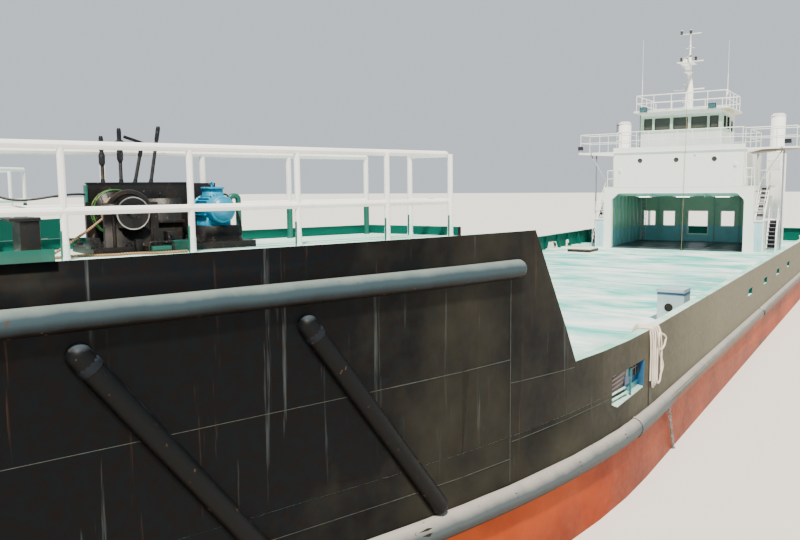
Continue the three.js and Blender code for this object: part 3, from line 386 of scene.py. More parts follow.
def rounded(corners, bend, steps=6):
    """A line through corners, each turned in an arc that starts its bend away from the corner."""
    pts = [Vector(p) for p in corners]
    line = [pts[0]]
    for before, here, after in zip(pts, pts[1:], pts[2:]):
        reach = min(bend, (here - before).length * 0.45, (after - here).length * 0.45)
        start = here + (before - here).normalized() * reach
        end = here + (after - here).normalized() * reach
        for i in range(steps + 1):
            t = i / steps
            line.append(start * (1 - t) ** 2 + here * 2 * t * (1 - t) + end * t * t)
    return [*line, pts[-1]]


def round_ended(name, line, radius, sides=24, steps=6):
    """A pipe whose two ends are closed by domes."""
    angles = [pi / 2 * i / steps for i in range(1, steps + 1)]
    cap = [sin(angle) for angle in angles]
    pts = [Vector(p) for p in line]
    first, last = (pts[1] - pts[0]).normalized(), (pts[-1] - pts[-2]).normalized()
    head = [pts[0] - first * radius * cos(angle) for angle in angles]
    tail = [pts[-1] + last * radius * cos(angle) for angle in reversed(angles)]
    return pipe(name, [*head, *pts, *tail], radius, sides, shares=[*cap, *[1.0] * len(pts), *reversed(cap)])


def dressed(node, name, mat, angle=6, body="hull_body"):
    """Shows a copy of a solid with its plates joined at their edges for smooth shading."""
    source = frame["nodes"][node]
    piece = source.copy()
    piece.data = source.data.copy()
    piece.name = piece.data.name = name
    bpy.context.collection.objects.link(piece)
    only(piece)
    bpy.ops.object.parent_clear(type="CLEAR_KEEP_TRANSFORM")
    applied(piece)
    edit("SELECT")
    bpy.ops.mesh.remove_doubles(threshold=0.00002)
    leave_edit()
    bpy.ops.object.shade_smooth_by_angle(angle=radians(angle))
    piece.data.materials.clear()
    piece.data.materials.append(mat)
    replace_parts(piece, node)
    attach(piece, body)
    return piece


def ship_paint(name, decks):
    """Ship's paint by where it is on the hull. decks lists each deck's height, colour and worn
    colour. Faces that look inboard are green. Rain runs down the sides in pale and rusty streaks
    a hand wide, and the roller leaves a fine orange peel."""
    mat, surface, spot = blank(name)
    facing = add(mat, "NewGeometry", out="True Normal")
    x, y, z = (add(mat, "SeparateXYZ", [spot], axis) for axis in "XYZ")
    nx, nz = (add(mat, "SeparateXYZ", [facing], axis) for axis in "XZ")
    broad = add(mat, "TexNoise", {"Vector": spot, "Scale": 0.55, "Detail": 6, "Roughness": 0.62})
    fine = add(mat, "TexNoise", {"Vector": spot, "Scale": 14, "Detail": 5, "Roughness": 0.6})

    # Sides: black, dusty towards the stern, with the runs over it
    downward = add(mat, "Mapping", {"Vector": spot, "Scale": (5.5, 5.5, 0.22)})
    drip = add(mat, "TexNoise", {"Vector": downward, "Scale": 1.6, "Detail": 5, "Roughness": 0.7})
    narrow = add(mat, "MapRange", {"Value": drip, "From Min": 0.62, "From Max": 0.8, "To Max": 0.26})
    rusty = add(mat, "MapRange", {"Value": drip, "From Min": 0.36, "From Max": 0.27, "To Max": 0.5})
    aft = add(mat, "MapRange", {"Value": y, "From Min": DUST_FROM * MODEL, "From Max": DUST_FULL * MODEL})
    mottled = add(mat, "Math", [broad, 0.7, -0.35], operation="MULTIPLY_ADD")
    dusty = add(mat, "Math", [aft, mottled], operation="ADD", use_clamp=True)
    warm = add(mat, "MapRange", {"Value": fine, "From Min": 0.4, "From Max": 0.7})
    side = coats(mat, BLACK_FRESH, (warm, BLACK_WARM), (dusty, DUST), (narrow, RUN_PALE), (rusty, RUN_RUST))
    tide = add(mat, "MapRange", {"Value": broad, "From Min": 0.38, "From Max": 0.66})
    low = add(mat, "Math", [z, BELT_Z * MODEL], operation="LESS_THAN")

    # Inside faces: those that look inboard, and the bow wings' inner coaming, which runs along a
    # slanting line, but neither the transom nor the bow's end plates
    outward = add(mat, "Math", [nx, x], operation="MULTIPLY")
    inboard = add(mat, "Math", [outward, 0.15], operation="LESS_THAN")
    along = add(mat, "Math", [y, -0.267, -5.6], operation="MULTIPLY_ADD")
    reach = add(mat, "Math", [add(mat, "Math", [x], operation="ABSOLUTE"), along], operation="ADD")
    inner_edge = add(mat, "Math", [reach, 0.0], operation="LESS_THAN")
    high = add(mat, "Math", [z, WING_COAMING_Z * MODEL], operation="GREATER_THAN")
    inner_edge = add(mat, "Math", [inner_edge, high], operation="MULTIPLY")
    inside = add(mat, "Math", [inboard, inner_edge], operation="MAXIMUM")
    above = add(mat, "Math", [z, (DECK + 0.002) * MODEL], operation="GREATER_THAN")
    inside = add(mat, "Math", [inside, above], operation="MULTIPLY")
    stern = add(mat, "Math", [y, (STERN - 0.05) * MODEL], operation="GREATER_THAN")
    stem = add(mat, "Math", [y, (BOW + 0.05) * MODEL], operation="LESS_THAN")
    for end in (stern, stem):
        inside = add(mat, "Math", [inside, end], operation="SUBTRACT", use_clamp=True)
    skin = coats(mat, side, (low, coats(mat, RED_DEEP, (tide, RED_TOP))), (inside, GREEN))

    # Decks: worn by feet in patches that run along the ship, and dark where puddles dry
    upward = add(mat, "Math", [nz, 0.7], operation="GREATER_THAN")
    across = add(mat, "Mapping", {"Vector": spot, "Scale": (0.5, 1.15, 1.0)})
    feet = add(mat, "TexNoise", {"Vector": across, "Scale": 1.1, "Detail": 8, "Roughness": 0.66,
                                 "Distortion": 0.5})
    worn = add(mat, "MapRange", {"Value": feet, "From Min": 0.4, "From Max": 0.62})
    puddle = add(mat, "MapRange", {"Value": broad, "From Min": 0.44, "From Max": 0.3, "To Max": 0.6})
    for height, colour, pale in decks:
        over = add(mat, "Math", [z, (height - 0.03) * MODEL], operation="GREATER_THAN")
        here = add(mat, "Math", [over, upward], operation="MULTIPLY")
        skin = coats(mat, skin, (here, coats(mat, colour, (worn, pale), (puddle, MINT_DIRTY))))

    gloss = add(mat, "MapRange", {"Value": fine, "To Min": 0.34, "To Max": 0.62})
    peel = add(mat, "Bump", {"Height": fine, "Strength": 0.22, "Distance": 0.004})
    feed(surface, Base_Color=skin, Roughness=gloss, Normal=peel, Specular_IOR_Level=0.08)
    return mat


dressed("hull", "hull_shell", ship_paint("rolled_ship_paint_on_hull_plate", [(DECK, MINT, MINT_WORN)]))

# Main fender belt. A half-pipe of split steel tube, welded on at the edge of the deck all along
# each side in two lengths, with a joint ring near the shoulder. Grey-teal paint, chipped and
# scraped by quays, with pale dust and a painted highlight on top and painted shade beneath.
BELT_SKIN, BELT_REACH = 0.004, 7.3003
BELT_RUNS, BELT_STEP = [(-28.7, 1.3), (1.9, 28.4)], 0.5
BELT_RING_Y, BELT_RING_WIDE, BELT_RING_PROUD = -15.0, 0.045, 0.022
FENDER_TEAL, FENDER_DUST_AND_HIGHLIGHT, FENDER_BELLY_SHADE = "#464f53", "#9a9590", "#171414"


def rubbed_pipe(name, body, crown, under, crown_light_from=0.25):
    """Oil paint on steel pipe: dust and a painted highlight make the crown pale, and painted shade
    makes the underside dark. Chips a thumb wide show rust, drawn twice as large as they are."""
    mat, surface, spot = blank(name)
    nz = add(mat, "SeparateXYZ", [add(mat, "TexCoord", out="Normal")], "Z")
    blotch = add(mat, "TexNoise", {"Vector": spot, "Scale": 3.2, "Detail": 6, "Roughness": 0.65})
    chip = add(mat, "TexNoise", {"Vector": spot, "Scale": 22, "Detail": 3})
    wander = add(mat, "Math", [blotch, 0.6, -0.3], operation="MULTIPLY_ADD")
    raised = add(mat, "Math", [nz, wander], operation="ADD")
    # Painted light: upward faces take the crown colour as a highlight over dust, downward faces the
    # underside colour as painted shade
    top = add(mat, "MapRange", {"Value": raised, "From Min": crown_light_from, "From Max": 0.95})
    belly_shade = add(mat, "MapRange", {"Value": raised, "From Min": 0.05, "From Max": -0.7})
    bare = add(mat, "MapRange", {"Value": chip, "From Min": 0.69, "From Max": 0.72, "To Max": 0.8})
    paint = coats(mat, body, (top, crown), (belly_shade, under), (bare, RUN_RUST))
    gloss = add(mat, "MapRange", {"Value": blotch, "To Min": 0.3, "To Max": 0.6})
    dents = add(mat, "Bump", {"Height": blotch, "Strength": 0.25, "Distance": 0.02})
    feed(surface, Base_Color=paint, Roughness=gloss, Normal=dents, Specular_IOR_Level=0.12)
    return mat


belt_paint = rubbed_pipe("scraped_fender_paint_with_painted_light", FENDER_TEAL, FENDER_DUST_AND_HIGHLIGHT, FENDER_BELLY_SHADE)
for name, side in SIDES:
    runs = []
    for start, end in BELT_RUNS:
        count = round((end - start) / BELT_STEP)
        line = [on_wall(start + (end - start) * i / count, BELT_Z, side) for i in range(count + 1)]
        runs.append(round_ended("run", line, BELT_R + BELT_SKIN))
    ring = [on_wall(BELT_RING_Y + dy, BELT_Z, side) for dy in (-BELT_RING_WIDE, BELT_RING_WIDE)]
    belt = joined(f"fender_belt_{name}", [*runs, pipe("ring", ring, BELT_R + BELT_RING_PROUD, 24)])
    for vertex in belt.data.vertices:
        vertex.co.x = max(-BELT_REACH, min(BELT_REACH, vertex.co.x))
    place(f"fender_belt_{name}", belt, belt_paint)

# Weld seams. Ground-down beads where the side plates meet, left proud by a few millimetres and
# brushed over, so that they catch the light as thin pale lines. Drawn twice their real width.
SEAM_R, SEAM_PROUD, SEAM_STEP = 0.008, 0.002, 0.4
SEAM_PALE, SEAM_STRIP_SHADE = "#41483f", "#2a2019"
SEAM_RUNS = [((-28.9, 4.64), (-19.6, 4.66)), ((-28.9, 3.03), (-19.6, 3.03)),
             ((-19.56, 3.31), (-16.27, 3.31)), ((-19.6, 4.28), (-17.75, 4.2)), ((-19.6, 2.65), (-19.6, 6.1))]
SIDE_STRIP_Y, SIDE_STRIP_Z, SIDE_STRIP_R = -14.03, (2.62, 4.24), 0.03


def brushed_bead(name, colour):
    """Paint over a weld bead: the same paint as the plate, thinned on the ripples."""
    mat, surface, spot = blank(name)
    ripple = add(mat, "TexNoise", {"Vector": spot, "Scale": 30, "Detail": 2})
    dull = add(mat, "MapRange", {"Value": ripple, "To Min": 0.45, "To Max": 0.75})
    bump = add(mat, "Bump", {"Height": ripple, "Strength": 0.5, "Distance": 0.003})
    feed(surface, Base_Color=coats(mat, BLACK_FRESH, (ripple, colour)), Roughness=dull, Normal=bump)
    return mat


bead_paint = brushed_bead("painted_weld_bead", SEAM_PALE)
# The dark side strip along the plate seam is coloured partly as painted shade beside the seam
seam_strip_shade_paint = brushed_bead("dark_seam_strip_with_painted_shade", SEAM_STRIP_SHADE)
for name, side in SIDES:
    beads = []
    for (y0, z0), (y1, z1) in SEAM_RUNS:
        count = max(2, round(abs(y1 - y0) / SEAM_STEP))
        steps = [i / count for i in range(count + 1)]
        line = [on_wall(y0 + (y1 - y0) * t, z0 + (z1 - z0) * t, side, SEAM_PROUD - SEAM_R) for t in steps]
        beads.append(pipe("bead", line, SEAM_R, 8))
    place(f"weld_seams_{name}", beads, bead_paint)
    strip = [on_wall(SIDE_STRIP_Y, z, side, -0.01) for z in SIDE_STRIP_Z]
    place(f"side_strip_{name}", pipe("strip", strip, SIDE_STRIP_R, 8), seam_strip_shade_paint)

# Mooring bitts. Twin posts of thick pipe on a base plate, capped with flat discs a little wider
# than the post, with a cross bar between. White enamel, scuffed to steel where ropes turn.
BITTS, BITT_FOOT = [(6.35, -15.5), (6.1, 26.5)], DECK + 0.05
BITT_POSTS, BITT_R, BITT_BAR_Z, BITT_BAR_R = (-0.33, 0.33), 0.112, DECK + 0.27, 0.035
BITT_STAGES = [(0, BITT_R + 0.03), (0.03, BITT_R + 0.004), (0.4, BITT_R + 0.004), (0.44, BITT_R + 0.035),
               (0.475, BITT_R + 0.035), (0.49, BITT_R + 0.02)]
WHITE, WHITE_WORN = "#f3f4f1", "#c9c6bd"
AXES = {"X": (1, 0, 0), "Y": (0, 1, 0), "-Y": (0, -1, 0), "Z": (0, 0, 1)}


def turned(name, foot, axis, stages, sides=32):
    """A round body, drawn ring by ring from its foot along an axis, given by its letter or as a
    vector. Each stage is a distance and a radius."""
    bpy.ops.object.select_all(action="DESELECT")
    bpy.ops.mesh.primitive_circle_add(vertices=sides, radius=stages[0][1], fill_type="NGON",
                                      location=(0, 0, stages[0][0]))
    piece = bpy.context.object
    piece.name = name
    bpy.ops.object.mode_set(mode="EDIT")
    for (start, r0), (end, r1) in zip(stages, stages[1:]):
        bpy.ops.mesh.extrude_region_move(TRANSFORM_OT_translate={"value": (0, 0, end - start)})
        bpy.ops.transform.resize(value=(r1 / r0, r1 / r0, 1), center_override=(0, 0, end))
    bpy.ops.mesh.select_all(action="SELECT")
    bpy.ops.mesh.normals_make_consistent(inside=False)
    leave_edit()
    piece.rotation_mode = "QUATERNION"
    piece.rotation_quaternion = Vector(AXES[axis] if isinstance(axis, str) else axis).to_track_quat("Z", "Y")
    piece.location = foot
    return applied(piece)


def block(name, x, y, z, edge=0.008):
    """A plate or box between two places on each axis, its edges rounded off."""
    bpy.ops.object.select_all(action="DESELECT")
    spans = [sorted(span) for span in (x, y, z)]
    bpy.ops.mesh.primitive_cube_add(size=1, location=[(a + b) / 2 for a, b in spans],
                                    scale=[b - a for a, b in spans])
    piece = bpy.context.object
    piece.name = name
    applied(piece)
    if edge:
        bevel = piece.modifiers.new("edge", "BEVEL")
        bevel.width, bevel.segments = edge, 2
        bpy.ops.object.modifier_apply(modifier="edge")
    return piece


def rain_runs(mat, spot, wide, tall, scale, low, high, most, rough=0.65):
    """The share that dirt covers in rain runs: noise drawn out downwards."""
    drawn = add(mat, "Mapping", {"Vector": spot, "Scale": (wide, wide, tall)})
    drip = add(mat, "TexNoise", {"Vector": drawn, "Scale": scale, "Detail": 5, "Roughness": rough})
    return add(mat, "MapRange", {"Value": drip, "From Min": low, "From Max": high, "To Max": most})


def brushed_out(mat, surface, paint, strokes, gloss, depth=0.15):
    """Ends a brushed enamel: its colour, and the gloss and low relief that brush marks give it."""
    shine = add(mat, "MapRange", {"Value": strokes, "To Min": gloss[0], "To Max": gloss[1]})
    skin = add(mat, "Bump", {"Height": strokes, "Strength": depth, "Distance": 0.002})
    feed(surface, Base_Color=paint, Roughness=shine, Normal=skin, IOR=1.5)
    return mat


def enamel(name, colour, worn, dirt, slot="white_paint", gloss=(0.25, 0.5), patch=1.0, worn_share=0.5,
           runs=0.4):
    """Brushed alkyd enamel on steel: a smooth skin with brush marks, faded in patches as wide as
    patch, with rain runs of dirt down upright faces."""
    mat, surface, spot = blank(name)
    broad = add(mat, "TexNoise", {"Vector": spot, "Scale": 1.0 / (patch * MODEL), "Detail": 6,
                                  "Roughness": 0.62})
    strokes = add(mat, "TexNoise", {"Vector": spot, "Scale": 26, "Detail": 4, "Distortion": 0.4})
    faded = add(mat, "MapRange", {"Value": broad, "From Min": 0.45, "From Max": 0.68, "To Max": worn_share})
    run = rain_runs(mat, spot, 11, 0.5, 1.4, 0.56, 0.76, runs)
    return brushed_out(mat, surface, coats(mat, colour, (faded, worn), (run, dirt)), strokes, gloss, 0.18)


white_enamel = enamel("white_alkyd_enamel", WHITE, "#dcdcd6", "#b6a78f", patch=1.4, runs=0.28)
scuffed_white = enamel("scuffed_white_enamel", "#e9eae6", WHITE_WORN, "#6f675c", patch=0.2)
for name, side in SIDES:
    posts = []
    for x, y in BITTS:
        spots = [(side * x, y + dy) for dy in BITT_POSTS]
        posts += [turned("post", (*spot, BITT_FOOT), "Z", BITT_STAGES) for spot in spots]
        posts.append(pipe("bar", [(*spot, BITT_BAR_Z) for spot in spots], BITT_BAR_R, 12))
    place(f"bitts_{name}", posts, scuffed_white)

# Bow wings. Raised side tanks on each bow, of the same plate and paint as the hull, with a pale
# mint walking deck inside a green coaming, and a sloping gusset down to the bulwark.
WING_DECK = 6.69
WING_MINT, WING_WORN = "#a5d8cb", "#e4efe8"
wing_paint = ship_paint("rolled_ship_paint_on_wing_plate",
                        [(DECK, MINT, MINT_WORN), (WING_DECK, WING_MINT, WING_WORN)])
for name, _ in SIDES:
    dressed(f"bow_wing_{name}", f"wing_shell_{name}", wing_paint)

# Wing fenders. One half-pipe runs along each wing just under its deck, and three more slant down
# it to the belt. Each is a plain steel pipe with a welded cap, whose seam edge stays sharp.
UPPER_Z, UPPER_R, UPPER_FROM, UPPER_RUN, UPPER_STEPS = 6.1, 0.154, -28.8, -19.45 + 28.8, 24
SLANT_TOPS, SLANT_TOP_Z, SLANT_FOOT_Z, SLANT_RUN, SLANT_R = (-23.2, -25.79, -28.38), 5.68, 2.745, 2.05, 0.144
CAP_R = SLANT_R + 0.005
CAP_STAGES = [(-SLANT_R, 0.02), (-SLANT_R * 0.93, CAP_R * 0.42), (-SLANT_R * 0.7, CAP_R * 0.74),
              (-SLANT_R * 0.35, CAP_R * 0.95), (0.0, CAP_R), (0.05, CAP_R), (0.062, SLANT_R * 0.9)]
# Each fender paint below has a painted highlight on its crown and painted shade underneath
slant_paint = rubbed_pipe("black_fender_paint_with_painted_light", "#0c0e10", "#3c464e", "#080606", 0.55)
wing_fender_paint = rubbed_pipe("grey_teal_fender_paint_with_painted_light", "#33434a", "#6f7b78", "#0e0a0a", 0.35)
cap_paint = rubbed_pipe("worn_fender_cap_paint_with_painted_light", "#171b21", "#39434d", "#0b0d10", 0.5)
for name, side in SIDES:
    slants, caps = [], []
    for top in SLANT_TOPS:
        head = Vector(on_wall(top, SLANT_TOP_Z, side))
        foot = Vector(on_wall(top + SLANT_RUN, SLANT_FOOT_Z, side))
        slants.append(round_ended("slant", [head, head.lerp(foot, 0.5), foot], SLANT_R))
        caps.append(turned("cap", head, foot - head, CAP_STAGES, 24))
    place(f"slanting_fenders_{name}", slants, slant_paint)
    place(f"fender_caps_{name}", caps, cap_paint, smooth=25)
    stations = [UPPER_FROM + UPPER_RUN * i / UPPER_STEPS for i in range(UPPER_STEPS + 1)]
    upper = round_ended("fender", [on_wall(y, UPPER_Z, side) for y in stations], UPPER_R)
    place(f"wing_fender_{name}", upper, wing_fender_paint)

# Wing rails. White-painted steel pipe in two heights, bent round the corners, on posts that stand
# in the coaming. Green coaming paint runs up the feet of the posts, higher on the inner ones.
PIPE_R, POST_R, PIPE_HIGH, PIPE_MID, PIPE_BEND, POST_INSET = 0.044, 0.038, 1.17, 0.5, 0.16, 0.05
RAIL_OUTER = [(wall_at(y) - POST_INSET, y) for y in (-28.4, -27.1, -25.83, -24.55, -23.25, -21.95, -20.85)]
RAIL_INNER = [(4.62, -20.95), (4.17, -22.2), (3.73, -23.4), (3.3, -24.6), (2.85, -25.8), (2.4, -27.1),
              (2.35, -28.4)]
RAIL_AFT, RAIL_FOOT = (5.35, -20.85), WING_DECK + 0.0006
GREEN_OUTER, GREEN_INNER, GREEN_OVER = 0.17, 0.44, 0.004


def posts_and_rails(side):
    """The pipes of one wing's rail, the green feet and straps of its posts, and their pale boots."""
    flat = [RAIL_INNER[0], *RAIL_INNER[5:], RAIL_OUTER[0], RAIL_OUTER[4], RAIL_OUTER[6], RAIL_AFT]
    pipes, feet, boots = [], [], []
    for rise in (PIPE_MID, PIPE_HIGH):
        corners = [(side * x, y, RAIL_FOOT + rise) for x, y in flat]
        pipes.append(pipe("rail", rounded(corners, PIPE_BEND), PIPE_R))
    r = POST_R + GREEN_OVER
    for high, spots, kin in ((GREEN_INNER, RAIL_INNER, feet), (GREEN_OUTER, [*RAIL_OUTER, RAIL_AFT], boots)):
        stages = [(0.0, r * 1.15), (0.012, r * 1.15), (0.02, r * 1.1), (0.04, r), (high, r),
                  (high + 0.004, r * 0.9)]
        for x, y in spots:
            base = Vector((side * x, y, RAIL_FOOT))
            pipes.append(pipe("post", [base, base + Vector((0, 0, PIPE_HIGH))], POST_R))
            kin.append(turned("foot", base, "Z", stages, 16))
            if kin is boots:
                feet.append(block("strap", (base.x - 0.012, base.x + 0.012), (y - 0.05, y - 0.036),
                                  (RAIL_FOOT, RAIL_FOOT + 0.3), 0.003))
    return pipes, feet, boots


green_enamel = enamel("green_alkyd_enamel", GREEN, "#1a7565", "#1d4136", "green_paint", patch=0.8, runs=0.45)
mint_enamel = enamel("mint_washed_white_enamel", "#cfe9e4", "#e8f3f0", "#8fb5ab", patch=0.5)
for name, side in SIDES:
    pipes, feet, boots = posts_and_rails(side)
    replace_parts(place(f"pipe_rail_{name}", pipes, white_enamel), f"wing_rail_{name}")
    place(f"post_feet_{name}", feet, green_enamel)
    place(f"post_boots_{name}", boots, mint_enamel)

# Bulwarks. The plated sides of the cargo deck carry on the ship's side outside and are green
# inside, with brackets every plate and a flat cap whose paint is worn to pale mint.
BULWARK_TOP, CAP_PALE, CAP_WORN = 4.3, "#7fc9b4", "#d5ebe0"
bulwark_paint = ship_paint("rolled_ship_paint_on_bulwark_plate", [(BULWARK_TOP, CAP_PALE, CAP_WORN)])
for name, _ in SIDES:
    dressed(f"bulwark_{name}", f"bulwark_shell_{name}", bulwark_paint)

# Roller fairleads. A pocket in the side under each opening, parted by an upright, with a pale
# sloping sill, two steel rollers across it, a grating forward and a blue-painted back aft.
(LEAD_FORE, LEAD_AFT), (LEAD_LOW, LEAD_HIGH), LEAD_DIVIDE = (-16.2, -14.35), (3.1, 3.72), -15.24
ROLLER_FROM, ROLLER_TO, ROLLER_PLACES = LEAD_FORE + 0.08, LEAD_DIVIDE - 0.05, ((-0.05, 0.12), (-0.1, 0.2))
SLATS, SLAT_PITCH, SLAT_STEP_OUT = 4, 0.105, 0.02
blue_plate = enamel("blue_pocket_paint", "#0f4470", "#1f5f80", "#10202c", "blue_paint", patch=0.3)
teal_plate = enamel("teal_pocket_paint", "#23606a", "#3f8d92", "#1c3f40", "green_paint", patch=0.3)
sill_paint = enamel("rope_worn_sill_paint", "#9ccabb", "#f0f2ea", "#7d7a66", patch=0.15, runs=0.5)
# Near-black paint: painted shade for the grating's gaps, and the stopper's own dark steel
gap_shade_and_stopper_paint = enamel("dark_grating_gap_shade_and_stopper_paint", "#0f0d0e", "#3a3436", "#5b4a44", "black_paint", patch=0.2)
slat_paint = enamel("sunned_grating_slats", "#8d6a62", "#ab887e", "#54403a", patch=0.2)


def tilted(piece, angle, axis, centre):
    """Turns a finished piece about an axis through a point."""
    piece.matrix_world = (Matrix.Translation(centre) @ Matrix.Rotation(angle, 4, axis)
                          @ Matrix.Translation(-Vector(centre)))
    return applied(piece)


def flipped(piece):
    """The starboard twin of a port piece, with its faces turned to point out again."""
    only(piece)
    bpy.ops.object.duplicate()
    twin = bpy.context.object
    twin.scale = (-1, 1, 1)
    applied(twin)
    edit("SELECT")
    bpy.ops.mesh.flip_normals()
    leave_edit()
    return twin


def pair(name, pieces, mat, body="hull_body", smooth=35, seat=None):
    """Places a port piece and its starboard twin. seat gives each side's own frame."""
    port = joined(name, pieces)
    for (side_name, side), piece in zip(SIDES, (port, flipped(port))):
        if seat:
            piece.matrix_world = seat(side)
        place(f"{name}_{side_name}", piece, mat, body.format(side_name), smooth)


def barrel(long, r, end, edge):
    """The stages of a short pin or knuckle: an edge wide chamfer down to its end's radius."""
    return [(0, end), (edge, r), (long - edge, r), (long, end)]


def lead_rollers():
    long = ROLLER_TO - ROLLER_FROM
    stages = [(0, 0.012), (0.02, 0.012), (0.021, 0.022), (0.04, 0.026), (long * 0.5, 0.022),
              (long - 0.04, 0.026), (long - 0.021, 0.022), (long - 0.02, 0.012), (long, 0.012)]
    ends = [[Vector((wall_at(y) + out, y, LEAD_LOW + rise)) for y in (ROLLER_FROM, ROLLER_TO)]
            for out, rise in ROLLER_PLACES]
    return [turned("roller", foot, head - foot, stages, 20) for foot, head in ends]


def lead_grating(offset, high):
    """One half of the forward grating's bars: the dark bars that stand as painted shade in its gaps, or the
    sunned slats.
    """
    made = []
    for i in range(SLATS):
        out, z = SLAT_STEP_OUT * i, LEAD_LOW + 0.22 + SLAT_PITCH * i + offset
        long = (LEAD_FORE + 0.06, LEAD_DIVIDE - 0.03)
        slat = block("slat", (6.86 + out, 6.93 + out), long, (z, z + high), 0.006)
        made.append(tilted(slat, radians(-24), "Y", (6.9 + out, 0, z)))
    return made


reach = wall_at(LEAD_DIVIDE)
upright = block("upright", (reach - 0.03, reach + 0.01), (LEAD_DIVIDE - 0.012, LEAD_DIVIDE + 0.012),
                (LEAD_LOW + 0.02, LEAD_HIGH - 0.02), 0.01)
pair("fairlead_frame", [upright], teal_plate)
sill = block("sill", (6.84, wall_at(LEAD_AFT) - 0.02), (LEAD_FORE + 0.07, LEAD_AFT - 0.02),
             (LEAD_LOW + 0.02, LEAD_LOW + 0.05), 0.006)
pair("fairlead_sill", [tilted(sill, radians(9), "Y", (6.97, 0, LEAD_LOW + 0.03))], sill_paint)
pair("fairlead_rollers", lead_rollers(), sill_paint)
# The dark bars between the slats are painted shade in the grating's gaps
pair("fairlead_grating_gap_shade", lead_grating(0.0, 0.05), gap_shade_and_stopper_paint)
pair("fairlead_slats", lead_grating(0.052, 0.045), slat_paint)
back = block("back", (6.905, 6.93), (LEAD_DIVIDE + 0.03, LEAD_AFT - 0.03),
             (LEAD_LOW + 0.06, LEAD_HIGH - 0.03), 0.004)
end = block("end", (6.88, 7.085), (LEAD_AFT - 0.03, LEAD_AFT - 0.002), (LEAD_LOW + 0.04, LEAD_HIGH - 0.004),
            0.004)
pair("fairlead_back", [back, end], blue_plate)
pair("fairlead_plates", [
    block("upper plate", (6.93, 6.95), (LEAD_DIVIDE + 0.03, LEAD_DIVIDE + 0.22), (3.5, 3.69), 0.004),
    block("lower plate", (6.93, 6.965), (LEAD_DIVIDE + 0.06, LEAD_AFT - 0.04), (3.15, 3.27), 0.004),
], teal_plate)
# The chain stopper behind the opening: three dark cheeks and a pin across them
cheeks = [block("cheek", (6.93, 6.985), (y, y + 0.05), (3.42, 3.69), 0.01) for y in (-14.86, -14.66, -14.46)]
pin = turned("pin", (6.96, -14.9, 3.6), "Y", barrel(0.51, 0.028, 0.015, 0.01), 12)
pair("fairlead_stopper", [*cheeks, pin], gap_shade_and_stopper_paint)

# Boarding chain. Short-link chain, galvanised, that hangs from an eye under the belt down the
# side; each link is a bent ring, turned a quarter from the one above it.
CHAIN_TOP, CHAIN_FOOT = Vector((7.17, -12.55, 2.3)), Vector((7.14, -11.53, 0.5))
LINK_LONG, LINK_WIDE, LINK_R = 0.085, 0.028, 0.011


def galvanised(name, tone="#a9adab"):
    """Hot-dip zinc over steel: crystals a thumb across in slightly different greys, dull where
    it has weathered, with brown starting at the edges."""
    mat, surface, spot = blank(name)
    spangle = add(mat, "TexVoronoi", {"Vector": spot, "Scale": 45}, "Color")
    crystal = add(mat, "SeparateColor", [spangle], "Red")
    old = add(mat, "TexNoise", {"Vector": spot, "Scale": 7, "Detail": 5})
    brown = add(mat, "MapRange", {"Value": old, "From Min": 0.58, "From Max": 0.75, "To Max": 0.6})
    dull = add(mat, "MapRange", {"Value": old, "To Min": 0.35, "To Max": 0.65})
    grey = coats(mat, tone, (crystal, "#7e8384"), (brown, "#75573c"))
    feed(surface, Base_Color=grey, Roughness=dull, Metallic=0.75)
    return mat


def chain_link():
    bpy.ops.object.select_all(action="DESELECT")
    bpy.ops.mesh.primitive_torus_add(major_radius=LINK_WIDE, minor_radius=LINK_R, major_segments=16,
                                     minor_segments=8, rotation=(pi / 2, 0, 0))
    link = applied(bpy.context.object)
    stretch = LINK_LONG / 2 - LINK_WIDE
    for vertex in link.data.vertices:
        vertex.co.z += stretch if vertex.co.z > 0 else -stretch
    return link


zinc = galvanised("galvanised_steel")
links, model_link = [], chain_link()
run = CHAIN_FOOT - CHAIN_TOP
count = int(run.length / (LINK_LONG - 2 * LINK_R))
for i in range(count):
    only(model_link)
    bpy.ops.object.duplicate()
    link = bpy.context.object
    link.rotation_mode = "QUATERNION"
    link.rotation_quaternion = run.to_track_quat("Z", "Y")
    link.location = middle = CHAIN_TOP.lerp(CHAIN_FOOT, (i + 0.5) / count)
    applied(link)
    links.append(tilted(link, pi / 2, run.normalized(), middle) if i % 2 else link)
bpy.data.objects.remove(model_link)
place("boarding_chain", links, zinc)

# Ramp winches. One stands on each bow wing: a skid with bearing cheeks, a drum on a cross shaft,
# a black control stand and a blue motor. Oil and rope wear have left the black paint brown.
STATION_Y, STATION_IN = -24.84, 0.8
WING_TURN = atan((CHINE_HALF - BOW_HALF) / (CHINE - BOW))
SHAFT_Z, MOTOR_Y, MOTOR_Z, MOTOR_R = 0.45, 1.14, 0.46, 0.17
STAND_X, STAND_FORE, STAND_AFT, STAND_TOP = -0.47, -0.24, 1.05, 0.79
BOLT_X, BOLT_Y, SKID_TOP = (-0.37, 0.37), (-0.38, -0.05, 0.3, 0.62, 0.95, 1.3), 0.078
BRAKE_X, BRAKE_R, BRAKE_RIBS, FINS, RING_X, RING_R = (-0.27, -0.18), 0.262, 20, 26, 0.418, 0.178
TURNS, TURN_STEPS, WOUND_FROM, WOUND_LONG, WOUND_R, WOUND_ROPE_R = 11, 28, -0.155, 0.36, 0.178, 0.0165
BLACK, BLACK_GREASE, OIL_BROWN = "#0f1114", "#1c1816", "#35271d"


def station(side):
    """The winch's own frame: its foot under the drum, turned with the wing's edge."""
    spot = (side * (wall_at(STATION_Y) - STATION_IN), STATION_Y, WING_DECK)
    return Matrix.Translation(spot) @ Matrix.Rotation(-side * WING_TURN, 4, "Z")


